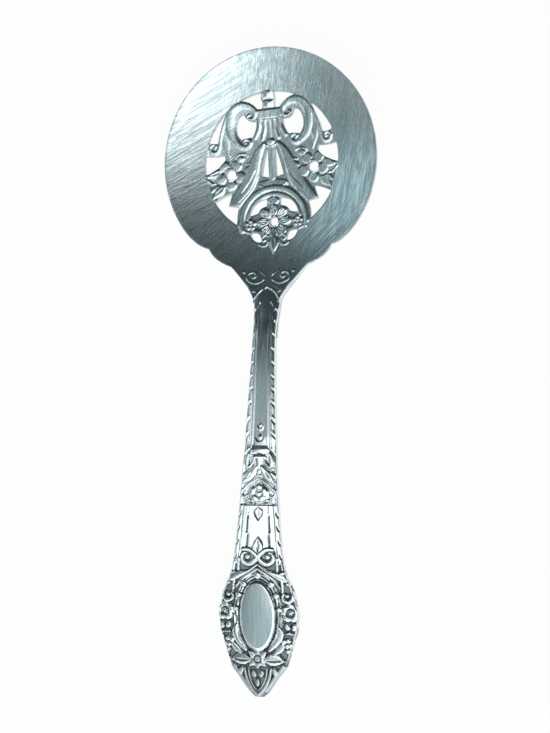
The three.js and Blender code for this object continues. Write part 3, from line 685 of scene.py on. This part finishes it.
# Handle: a struck bar of the same plated alloy, thickest along its spine, with a beaded oval
# cartouche between roses and scrolls. Its pointed end is soldered over the bowl's tab.
WAIST_HALF = 2.4
# reach from the tip, and half the width there
stations = np.array([(0, 0.95), (0.7, 1.75), (2.5, 3.2), (4, 4.25), (5, 5.15), (6, 5.85), (7, 6.2), (8, 6.5),
                     (11, 7.4), (12.8, 8.1), (14.5, 8.2), (16.5, 8.35), (18.5, 7.9), (21, 7.3), (23, 6.25),
                     (24.5, 5.7), (FOOT_REACH, 5.05), (35, 4.2), (COLLAR_REACH, 3.35)])


def handle_half(y):
    """Half the handle's width: widest at the roses, waisted on the shaft, flared at the neck."""
    reach, half = stations.T
    return through(np.r_[TIP + reach, WAIST_Y, ARCH_BASE], np.r_[half, WAIST_HALF, ARCH_HALF], y)


def along_edge(start, end, count, inset):
    """Places down the handle, evenly from start to end, at an inset from its edge."""
    y = np.linspace(start, end, count)
    return np.stack([handle_half(y) - inset, y], 1)


CARTOUCHE_Y = -49.0
CARTOUCHE_HALF = (3.8, 7.3)


def beside_cartouche(angle, gap):
    """Places round the cartouche: its half-width and half-length, each with the gap added, times the
    cosine and the sine of the angle."""
    across, along = CARTOUCHE_HALF
    angle = np.radians(angle)
    return np.stack([(across + gap) * np.cos(angle), CARTOUCHE_Y + (along + gap) * np.sin(angle)], -1)


def handle_ornament(x, y, half):
    """Heights of the handle's struck relief, the same on both sides. The places are first drawn
    a little towards the tip, most at the collar."""
    y = y + np.interp(-y, (8, 11, 15, 21, 25, 29, 37, 40, 46, 52, 57),
                      (0, 0.8, 1.05, 1.05, 0.95, 0.7, 0.7, 0.6, 0.35, 0.15, 0))
    work = Chasing(np.abs(x), y, flank=0.22, crown=0.25)
    low = -0.34
    behind_volutes = -0.22
    collar = -0.22
    shaft_panel = -0.1
    # ground: sunk in the terminal, behind the volutes and in the collar, plain on the shaft
    work.height += low * (1 - blended(-38.9, -38.2, y))
    within = ramp(0, 0.3, half - 1.2 - np.abs(x))
    work.height += behind_volutes * within * blended(-38.9, -38.2, y) * (1 - blended(-36.2, -35.3, y))
    within = ramp(0, 0.3, half - 0.25 - np.abs(x))
    work.height += collar * within * blended(-26.9, -26.5, y) * (1 - blended(-16.9, -16.6, y))
    # pointed end at the neck: a raised edge and a small chevron
    work.line([(2.62, 13.9), (1.95, 14.95), (1.1, 15.75), (0, 16.4)], 0.24, 0.13)
    work.line([(1.6, 12.6), (1.15, 13.25), (0.6, 13.75)], (0.2, 0.2, 0.14), 0.16)
    work.bead(2.6, 13.45, 0.25, 0.4, 0.14, 25)
    # shaft: a flat panel between two thin raised lines, and slanting nicks along both rolled edges
    panel = blended(-15.0, -14.6, y) * (1 - blended(9.0, 12.5, y))
    work.height += shaft_panel * panel * ramp(0, 0.2, half / 2 - np.abs(x))
    shaft_edge = along_edge(-15.2, 11.5, 9, 0)
    panel_edge = shaft_edge * [0.5, 1]
    work.line(panel_edge, (0.2, 0.2, 0.17, 0.08), 0.16, shaft_panel)
    work.line(panel_edge + [0.38, 0], (0.16, 0.16, 0.14, 0.06), -0.12)
    work.line(shaft_edge - [0.78, 0], (0.18, 0.18, 0.16, 0.08), -0.2)
    for nick_y in (-12.9, -10.2, -7.6, -4.8, -2.3, 0.5, 3.2, 6.2, 8.9, 11.3):
        edge = handle_half(np.array(nick_y))
        size = np.interp(nick_y, (-12, 9), (1.0, 0.7))
        work.line([(edge + 0.1, nick_y - 0.42 * size), (edge - 0.75 * size, nick_y + 0.38 * size)],
                  (0.3 * size, 0.26 * size, 0.08), -0.24)
        work.line([(edge - 0.02, nick_y + 0.2 * size), (edge - 0.62 * size, nick_y + 0.85 * size)],
                  (0.17, 0.17, 0.06), 0.15)
    # husks that hang at the panel's foot
    for husk_y, size in ((-11.2, 0.75), (-13.5, 1.1)):
        work.bead(0, husk_y + 0.3 * size, 0.45 * size, 0.5 * size, 0.16, floor=shaft_panel)
        cup = [(0, husk_y - 0.7 * size), (0.6 * size, husk_y - 0.45 * size),
               (0.95 * size, husk_y + 0.3 * size)]
        work.line(cup, (0.3 * size, 0.28 * size, 0.08), 0.34, shaft_panel)
    # bar over the collar, hollow above and turned down a little below, with slanting corners
    work.line([(1.6, -15.0), (2.3, -15.8), (3.4, -17.0)], (0.1, 0.18, 0.2), -0.2)
    bar = np.interp(-y, (14.5, 14.65, 15.1, 15.5, 15.7, 16.1, 16.4, 16.5),
                    (shaft_panel, -0.16, -0.08, -0.02, -0.01, -0.03, -0.06, collar))
    on_bar = (np.abs(x) < 1.7) & (y < -14.5) & (y > -16.5)
    work.height = np.where(on_bar, bar, work.height)
    work.spread = 0.14
    # collar: a broad stem with two falling leaves on both sides, an outer leaf, and drops between
    work.line([(0, -17.1), (1.15, -17.1)], 0.34, 0.46, collar)
    work.line([(0, -17.3), (0, -18.2), (0, -19.4)], (0.95, 0.6, 0.7), 0.46, collar)
    work.line([(2.1, -16.4), (2.5, -17.2), (2.6, -18.2), (2.35, -19.2)],
              (0.2, 0.55, 0.55, 0.15), 0.46, collar)
    work.line([(1.0, -17.2), (1.15, -18.0), (1.7, -18.8), (2.6, -19.4)],
              (0.2, 0.22, 0.3, 0.16), 0.46, collar)
    work.line([(0.5, -19.1), (1.3, -20.2), (2.2, -21.2), (3.3, -22.3)],
              (0.4, 0.75, 0.85, 0.65, 0.15), 0.48, collar)
    work.line([(1.4, -20.1), (1.9, -20.8), (2.4, -21.4)], (0.05, 0.15, 0.05), -0.22)
    work.line([(1.5, -19.7), (2.4, -20.3), (3.2, -20.9)], (0.3, 0.42, 0.4), 0.4, collar)
    work.bead(0, -19.9, 0.52, 0.55, 0.5, floor=collar)
    work.bead(0.25, -20.75, 0.34, 0.34, 0.42, floor=collar)
    # arch over the rose, the rose, and a scalloped base line
    work.line([(0, -21.35), (1.0, -21.95), (2.2, -22.7), (3.1, -23.6)], (0.2, 0.24, 0.26, 0.2), 0.44, collar)
    work.bead(0, -24.3, 2.2, 1.8, 0.3, floor=collar)
    rose = (0, -24.35)
    work.petals(*rose, 5, 1.25, 0.92, 0.62, 0.48, 90, 0.0, collar)
    work.ring(*rose, 0.68, 0.15, -0.24)
    work.bead(*rose, 0.36, 0.34, 0.5, floor=collar)
    work.line(spiral(2.75, -24.5, 0.95, 0.5, 80, -150, 8), (0.3, 0.3, 0.2), 0.44, collar)
    work.line([(1.3, -26.0), (2.0, -25.9), (2.6, -26.0)], (0.2, 0.26, 0.1), 0.42, collar)
    work.line([(0, -26.55), (0.8, -26.4), (1.6, -26.55), (2.4, -26.4), (3.5, -26.5)],
              (0.12, 0.18, 0.12), -0.16)
    # fluted foot of the shaft, with nicked edges
    work.spread = 0.0
    work.line(along_edge(-38.3, -26.6, 7, 0.9), 0.14, -0.16)
    for nick_y in (-36.9, -34.1, -31.4, -28.7):
        edge = handle_half(np.array(nick_y))
        work.line([(edge - 0.1, nick_y - 0.5), (edge - 0.6, nick_y + 0.45)], (0.2, 0.22, 0.06), -0.26)
    work.line([(1.95, -26.7), (2.0, -28.3)], 0.1, -0.1)
    for low_y, high_y, width in ((-35.0, -32.8, 0.32), (-32.1, -29.1, 0.26)):
        work.line([(2.35, low_y), (2.15, high_y)], width, -0.34)
    work.line([(0, -29.7), (0.62, -28.8), (0.8, -27.9), (0, -27.2)], (0.24, 0.22, 0.14, 0.08), -0.22)
    work.line([(0, -29.4), (0, -28.4), (0, -27.7)], (0.1, 0.34, 0.05), -0.1)
    work.spread = 0.12
    # pointed leaf over the paired volutes, whose bands cross on the middle line
    work.leaf([(0, -36.6), (0, -35.4), (0, -33.1)], 1.2, 0.14)
    work.line([(1.1, -35.3), (0.85, -34.2), (0, -33.05)], (0.1, 0.16, 0.12), -0.16)
    work.line([(0, -36.0), (0, -35.0), (0, -33.9)], (0.12, 0.5, 0.08), -0.24)
    work.line([(3.05, -35.6), (1.8, -35.65), (0.75, -36.35), (0, -37.1)],
              (0.34, 0.42, 0.46), 0.5, behind_volutes)
    work.line([(0, -37.1), (0.6, -37.85), (1.4, -38.4), (2.2, -38.5), (3.0, -38.0), (3.25, -37.1),
               (2.9, -36.4), (2.3, -36.25)], (0.46, 0.5, 0.48, 0.42, 0.34, 0.2), 0.5, behind_volutes)
    work.bead(2.05, -37.05, 0.55, 0.52, 0.5, floor=behind_volutes)
    work.line([(3.9, -37.4), (4.05, -39.7)], 0.3, 0.5, low)
    work.line([(5.05, -38.3), (5.3, -39.8)], 0.4, 0.4, low)
    # gable over the cartouche, a flared leaf on both sides of it, and the side volutes
    work.line([(0, -38.6), (0.9, -39.25), (1.9, -40.0)], (0.22, 0.26, 0.22), 0.56, low)
    work.line([(0.2, -39.6), (1.7, -40.5), (3.3, -41.6), (4.6, -43.2)], (0.3, 0.34, 0.36, 0.2), 0.5, low)
    work.line([(1.9, -40.0), (3.4, -40.5), (4.7, -40.95), (5.7, -41.3)], (0.2, 0.5, 0.8, 0.85), 0.66, low)
    work.line([(4.6, -40.5), (5.3, -40.25), (6.0, -40.1)], (0.5, 0.4, 0.12), 0.62, low)
    work.bead(6.35, -42.35, 0.5, 0.48, 0.64, floor=low)
    work.line([(5.0, -41.9), (5.15, -43.0), (5.2, -44.3)], (0.3, 0.3, 0.2), 0.5, low)
    work.line(spiral(6.15, -44.95, 1.4, 0.85, 62, -215, 11), (0.16, 0.36, 0.38, 0.34, 0.26), 0.66, low)
    work.bead(6.2, -44.8, 0.46, 0.46, 0.66, floor=low)
    # line along the terminal's edge, and the polished cartouche in a plain rail with beads
    work.line(along_edge(-57.5, -41.2, 9, 0.22), 0.14, 0.46, low)
    rail = np.linspace(-28, 90, 10)
    work.line(beside_cartouche(rail, 0.6), 0.24, 0.42, low)
    work.line(beside_cartouche(rail, 1.15), 0.2, 0.38, low)
    for angle, gap, size in ((90, 0.95, 0.8), (52, 0.9, 0.7), (31, 0.85, 0.66), (10, 0.85, 0.58)):
        work.bead(*beside_cartouche(angle, gap), size, size, 0.8, floor=low)
    across, along = CARTOUCHE_HALF
    reach = np.hypot(x / across, (y - CARTOUCHE_Y) / along)
    dome = 0.42 + 0.06 * (1 - np.minimum(reach, 1) ** 2) - 0.36 * ramp(0.9, 1, reach)
    work.height = np.where(reach < 1, dome, work.height)
    # roses, upright leaves, bars and berries along the sides
    rose = (6.9, -48.2)
    work.petals(*rose, 5, 1.2, 0.95, 0.8, 0.66, 162, 0.0, low)
    work.ring(*rose, 0.8, 0.26, -0.4)
    work.bead(*rose, 0.4, 0.4, 0.68, floor=low)
    work.bead(6.2, -51.0, 0.55, 0.82, 0.6, 25, floor=low)
    work.bead(7.55, -51.1, 0.5, 0.82, 0.6, -10, floor=low)
    work.line([(5.9, -52.4), (6.7, -52.35), (7.4, -52.5)], (0.2, 0.26, 0.2), 0.58, low)
    for u, v in ((6.35, -53.8), (5.5, -54.0), (6.1, -54.9), (6.85, -54.75), (6.3, -55.9)):
        work.bead(u, v, 0.56, 0.52, 0.6, floor=low)
    # two broad leaves below the cartouche on both sides, bright on their inner edges
    work.line([(4.3, -50.8), (4.75, -52.0), (4.3, -53.5), (2.5, -55.9)],
              (0.1, 0.7, 0.85, 0.7, 0.35), 0.6, low)
    work.line([(4.2, -51.6), (4.0, -53.2), (3.0, -54.9)], (0.06, 0.16, 0.06), -0.14)
    work.line([(5.3, -54.1), (4.9, -55.2), (3.6, -56.5)], (0.15, 0.66, 0.72, 0.35), 0.54, low)
    # star flower between two creased leaves, under the cartouche
    work.line([(1.6, -57.8), (2.8, -57.75), (4.2, -57.7), (5.6, -57.9)], (0.5, 1.1, 1.2, 0.9, 0.1), 0.6, low)
    work.line([(1.9, -58.0), (3.2, -57.95), (4.9, -57.9)], (0.12, 0.3, 0.1), -0.24)
    star = (0, -57.6)
    work.bead(*star, 1.35, 1.3, 0.6, floor=low)
    for angle, point in zip(np.radians((90, 38, -38, -90)), (2.0, 2.6, 2.4, 2.1)):
        outwards = np.array([np.cos(angle), np.sin(angle)])
        work.line([star + 0.5 * outwards, star + point * outwards], (0.9, 0.8, 0.45, 0.02), 0.66, low)
    work.ring(*star, 0.72, 0.18, -0.34)
    work.bead(*star, 0.42, 0.42, 0.66, floor=low)
    # tip: a pointed shield of two lines with hanging drops, and a lobe on both sides
    work.line(along_edge(-63.9, -59.2, 6, 0.5), (0.25, 0.5, 0.6), 0.52, low)
    work.line([(2.75, -59.5), (2.35, -61.4), (1.3, -63.4), (0, -64.7)], (0.25, 0.34, 0.4, 0.4), 0.6, low)
    work.line([(1.95, -59.4), (1.7, -61.2), (0.9, -62.9), (0, -63.9)], (0.2, 0.22, 0.22, 0.16), 0.54, low)
    work.bead(3.55, -60.0, 0.55, 0.95, 0.6, 20, floor=low)
    work.bead(0.78, -60.5, 0.52, 0.85, 0.6, -20, floor=low)
    work.bead(0, -62.2, 0.45, 1.0, 0.6, floor=low)
    return work.height


CROWN = 0.3
FOOT_CROWN = 0.06
FLAT_SHARE = 0.5
TWIST = 0.075
EDGE_WIDTH = 0.4
EDGE_FALL = 0.28
SHAFT_EDGE_FALL = 0.12
UNDER_ROUND = 0.45
SIDE_BULGE = 0.05
COLUMNS = 100
UNDER_COLUMNS = 20
SIDE_STEPS = 3
rows_y = spaced((TIP, -36, 0.125), (-36, -15, 0.14), (-15, ARCH_BASE - 1, 0.22),
                (ARCH_BASE - 1, ARCH_BASE, 0.2))


def handle_grid(columns):
    """Places over the handle, in rows across it: rows near the neck bend up to its pointed end."""
    share = np.linspace(-1, 1, columns + 1)[None, :]
    rows = rows_y[:, None]
    arch_x, arch_y = np.vstack([arch_side, [[0, ARCH_APEX]]])[::-1].T
    lift = np.interp(np.abs(share) * ARCH_HALF, arch_x, arch_y) - ARCH_BASE
    return share * handle_half(rows), rows + lift * blended(ARCH_BASE - 5, ARCH_BASE, rows), share + 0 * rows


handle_x, handle_y, handle_share = handle_grid(COLUMNS)
half_at = handle_half(np.minimum(handle_y, ARCH_BASE))
struck = handle_ornament(handle_x, handle_y, half_at)
edge_reach = half_at * (1 - np.abs(handle_share))
edge = (1 - ramp(0, EDGE_WIDTH, edge_reach)) ** 2
# the foot and the collar are nearly flat and twisted a little, and the shaft's middle is flat
twist = TWIST * handle_x * blended(-42, -38, handle_y) * (1 - blended(-18, -14, handle_y))
foot = blended(-42, -38, handle_y) * (1 - blended(-20, -15, handle_y))
shaft = blended(-16, -14, handle_y) * (1 - blended(6, 11, handle_y))
bow = handle_share ** 2 - shaft * np.minimum(handle_share ** 2, FLAT_SHARE ** 2)
crown = CROWN + (FOOT_CROWN - CROWN) * foot
edge_fall = EDGE_FALL + (SHAFT_EDGE_FALL - EDGE_FALL) * shaft
handle_top = spine(handle_y) - crown * bow + struck - twist - edge_fall * edge
under_x, under_y, under_share = handle_grid(UNDER_COLUMNS)
under_edge = np.abs(under_share) ** 6
handle_under = spine(under_y) - HANDLE_THICKNESS + UNDER_ROUND * under_edge
handle_under = np.where(under_y > TAB_END, np.maximum(lap_plane(under_y), handle_under), handle_under)
handle_under = np.maximum(handle_under, 0)


def side_wall(column, under_column, outwards):
    """Rows of places down one side of the handle, from its top to its underside, bulging a little."""
    share = (np.arange(1, SIDE_STEPS) / SIDE_STEPS)[None, :]
    x = handle_x[:, [column]] + outwards * SIDE_BULGE * np.sin(np.pi * share)
    z = handle_top[:, [column]] * (1 - share) + handle_under[:, [under_column]] * share
    return np.stack([x, handle_y[:, [column]] + 0 * share, z], -1)


rings = np.concatenate([
    np.stack([handle_x, handle_y, handle_top], -1),
    side_wall(-1, -1, 1),
    np.stack([under_x, under_y, handle_under], -1)[:, ::-1],
    side_wall(0, 0, -1)[:, ::-1],
], axis=1)
row_count, ring_size = rings.shape[:2]
ring_ids = np.arange(row_count * ring_size).reshape(row_count, ring_size)
next_ids = np.roll(ring_ids, -1, axis=1)
handle_quads = np.stack([ring_ids[:-1], next_ids[:-1], next_ids[1:], ring_ids[1:]], -1).reshape(-1, 4)


def end_cap(row, turned):
    """Faces that close one end of the handle: each spans one step below and its steps above, and a
    narrow one closes either side wall."""
    above = COLUMNS // UNDER_COLUMNS
    step = np.arange(UNDER_COLUMNS)[:, None]
    top = ring_ids[row][step * above + np.arange(above + 1)[None, :]]
    under_start = COLUMNS + SIDE_STEPS
    below = ring_ids[row][under_start + UNDER_COLUMNS - 1 - step + np.array([[0, 1]])]
    wall = np.arange(SIDE_STEPS + 1)
    sides = ring_ids[row][np.stack([COLUMNS + wall, (under_start + UNDER_COLUMNS + wall) % ring_size])]
    groups = [np.concatenate([top, below], axis=1), sides]
    return [group[:, ::-1] if turned else group for group in groups]


handle_silver = silver_plate("handle_silver", bright=(0.82, 0.86, 0.86, 1), dull=(0.72, 0.77, 0.78, 1),
                             polish=0.14, scratch=0.2, turns=(89, 91, 88))
SUNK_TARNISH = 0.78
TIP_DARKENING = 0.35
LOWER_LEAF_DARKENING = 0.14
COLLAR_POLISH = 0.85
handle_recess = soften(struck, passes=7) - struck
handle_patina = np.zeros((row_count, ring_size))
tarnished = np.maximum(ramp(0.02, 0.12, handle_recess), SUNK_TARNISH * ramp(0.16, 0.24, -struck))
# the terminal is made darker towards its tip: a little from the lower leaves down, and more towards the
# pointed shield
tarnished = np.maximum(tarnished, TIP_DARKENING * (1 - blended(-60.5, -57, handle_y)))
tarnished = np.maximum(tarnished, LOWER_LEAF_DARKENING * (1 - blended(-56.5, -54.5, handle_y)))
tarnished *= (1 - blended(-16, -14.5, handle_y)) * (1 - COLLAR_POLISH * blended(-29, -27, handle_y))
handle_patina[:, :COLUMNS + 1] = tarnished
caps = end_cap(0, True) + end_cap(-1, False)
handle = make_piece("struck_handle", rings.reshape(-1, 3), [handle_quads, *caps], handle_patina.ravel(),
                    handle_silver)
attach(handle, "root")
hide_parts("handle")

# Solder: a thin film of silver solder, run in between the tab and the handle's end to hold them.
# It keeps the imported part's own mesh, and only its dull edge can show, along the line at the neck.
DARK_SOLDER = (0.42, 0.44, 0.43, 1)
LIGHT_SOLDER = (0.62, 0.65, 0.64, 1)
solder = bpy.data.materials.new("silver_solder")
solder.use_nodes = True
solder_tree = solder.node_tree
solder_shader = solder_tree.nodes["Principled BSDF"]
solder_shader.inputs["Metallic"].default_value = 1.0
solder_place = node(solder_tree, "ShaderNodeTexCoord").outputs["Object"]
solder_noise = node(solder_tree, "ShaderNodeTexNoise", Scale=900.0, Detail=4.0)
solder_tree.links.new(solder_place, solder_noise.inputs["Vector"])
grain = solder_noise.outputs["Fac"]
solder_tint = tinted(solder_tree, grain, DARK_SOLDER, LIGHT_SOLDER)
solder_tree.links.new(solder_tint, solder_shader.inputs["Base Color"])
solder_tree.links.new(ranged(solder_tree, grain, 0.3, 0.7, 0.35, 0.55), solder_shader.inputs["Roughness"])
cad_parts["solder_seam"].data.materials.clear()
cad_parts["solder_seam"].data.materials.append(solder)

# Table, light and camera: a white table, a soft overhead panel, pale walls low down and a dark
# ceiling beyond the bowl, seen from the photograph's place.
TABLE_HALF = 4.0
TABLE_GLOW = 0.95
table_corners = [(x * TABLE_HALF, y * TABLE_HALF, 0) for x, y in ((-1, -1), (1, -1), (1, 1), (-1, 1))]
floor_mesh = bpy.data.meshes.new("table")
floor_mesh.from_pydata(table_corners, [], [(0, 1, 2, 3)])
table = bpy.data.objects.new("table", floor_mesh)
bpy.context.scene.collection.objects.link(table)
table_white = bpy.data.materials.new("table_white")
table_white.use_nodes = True
table_tree = table_white.node_tree
table_shader = table_tree.nodes["Principled BSDF"]
table_shader.inputs["Base Color"].default_value = (0.97, 0.97, 0.97, 1)
table_shader.inputs["Roughness"].default_value = 0.9
table_shader.inputs["Specular IOR Level"].default_value = 0.0
rays = node(table_tree, "ShaderNodeLightPath")
seen = rays.outputs["Is Camera Ray"]
for ray in ("Is Glossy Ray", "Is Transmission Ray"):
    either = node(table_tree, "ShaderNodeMath", operation="MAXIMUM")
    table_tree.links.new(seen, either.inputs[0])
    table_tree.links.new(rays.outputs[ray], either.inputs[1])
    seen = either.outputs["Value"]
glowing = node(table_tree, "ShaderNodeEmission", Strength=1.0)
surface = node(table_tree, "ShaderNodeMixShader")
table_tree.links.new(ranged(table_tree, seen, 0.0, 1.0, 0.0, TABLE_GLOW), surface.inputs[0])
table_tree.links.new(table_shader.outputs["BSDF"], surface.inputs[1])
table_tree.links.new(glowing.outputs["Emission"], surface.inputs[2])
table_tree.links.new(surface.outputs["Shader"], table_tree.nodes["Material Output"].inputs["Surface"])
floor_mesh.materials.append(table_white)

world = bpy.data.worlds.new("studio")
world.use_nodes = True
bpy.context.scene.world = world
sky = world.node_tree
direction = node(sky, "ShaderNodeTexCoord").outputs["Generated"]
parts = node(sky, "ShaderNodeSeparateXYZ")
sky.links.new(direction, parts.inputs["Vector"])


def joined(operation, first, second):
    """Two numbers put together by an operation."""
    total = node(sky, "ShaderNodeMath", operation=operation)
    sky.links.new(first, total.inputs[0])
    sky.links.new(second, total.inputs[1])
    return total.outputs["Value"]


# brightness by direction: a pale near side and a ceiling that darkens beyond the bowl
near_side = ranged(sky, parts.outputs["Y"], -0.02, 0.16, 1.0, 0.0)
near_ceiling = joined("MULTIPLY", ranged(sky, parts.outputs["Y"], -0.12, 0.0, 0.32, 0.0),
                      ranged(sky, parts.outputs["X"], -0.5, -0.38, 0.0, 1.0))
ceiling = joined("ADD", near_ceiling, ranged(sky, parts.outputs["Y"], 0.03, 0.24, 0.165, 0.05))


def glow(centre, spread, strength):
    """A soft patch of light on the ceiling: strongest at its centre and gone at its spread."""
    shift = node(sky, "ShaderNodeMapping", vector_type="TEXTURE", Location=centre, Scale=spread)
    patch = node(sky, "ShaderNodeTexGradient", gradient_type="SPHERICAL")
    sky.links.new(direction, shift.inputs["Vector"])
    sky.links.new(shift.outputs["Vector"], patch.inputs["Vector"])
    return ranged(sky, patch.outputs["Fac"], 0.0, 0.5, 0.0, strength)


side_window = glow((-0.61, 0.22, 0.77), (0.23, 0.18, 0.4), 0.82)
ceiling_glow = glow((-0.36, 0.115, 0.93), (0.15, 0.075, 0.4), 0.28)
walls = ranged(sky, parts.outputs["Z"], 0.5, 0.72, 1.4, 0.0)
right_wall = ranged(sky, parts.outputs["X"], 0.08, 0.35, 0.0, 1.6)
dome = node(sky, "ShaderNodeBackground", Color=(0.72, 0.97, 1.04, 1))
patches = joined("ADD", side_window, ceiling_glow)
sky.links.new(joined("ADD", ceiling, patches), dome.inputs["Strength"])
tent = sky.nodes["Background"]
tent.inputs["Color"].default_value = (1.0, 1.0, 1.0, 1)
near_wall = ranged(sky, parts.outputs["Y"], -0.5, -0.3, 1.1, 0.0)
low_walls = joined("MULTIPLY", near_side, joined("MAXIMUM", walls, right_wall))
horizon = ranged(sky, parts.outputs["Z"], 0.3, 0.5, 0.1, 1.0)
sky.links.new(joined("MULTIPLY", horizon, joined("MAXIMUM", low_walls, near_wall)), tent.inputs["Strength"])
both = node(sky, "ShaderNodeAddShader")
sky.links.new(dome.outputs["Background"], both.inputs[0])
sky.links.new(tent.outputs["Background"], both.inputs[1])
sky.links.new(both.outputs["Shader"], sky.nodes["World Output"].inputs["Surface"])
softbox = bpy.data.lights.new("softbox", "AREA")
softbox.shape = "ELLIPSE"
softbox.size = 0.23
softbox.size_y = 0.19
softbox.energy = 0.165
lamp = bpy.data.objects.new("softbox", softbox)
lamp.location = (-0.03, -0.045, 0.45)
bpy.context.scene.collection.objects.link(lamp)

EYE = np.array([103.01, -31.12, 272.05]) * MM
AIM = np.array([1.192, 0.38, 0.0]) * MM
ROLL = 0.0236
LENS_PIXELS = 1447.0
LONG_SIDE_PIXELS = 733
SENSOR = 36.0
forward = (AIM - EYE) / np.linalg.norm(AIM - EYE)
right = np.cross(forward, (0, 1, 0))
right /= np.linalg.norm(right)
up = np.cross(right, forward)
right, up = np.cos(ROLL) * right + np.sin(ROLL) * up, np.cos(ROLL) * up - np.sin(ROLL) * right
camera_data = bpy.data.cameras.new("camera")
camera_data.sensor_width = SENSOR
camera_data.lens = LENS_PIXELS * SENSOR / LONG_SIDE_PIXELS
camera = bpy.data.objects.new("camera", camera_data)
pose = np.eye(4)
pose[:3, :] = np.stack([right, up, -forward, EYE], 1)
camera.matrix_world = Matrix(pose.tolist())
bpy.context.scene.collection.objects.link(camera)
bpy.context.scene.camera = camera
bpy.context.scene.view_settings.view_transform = "Standard"
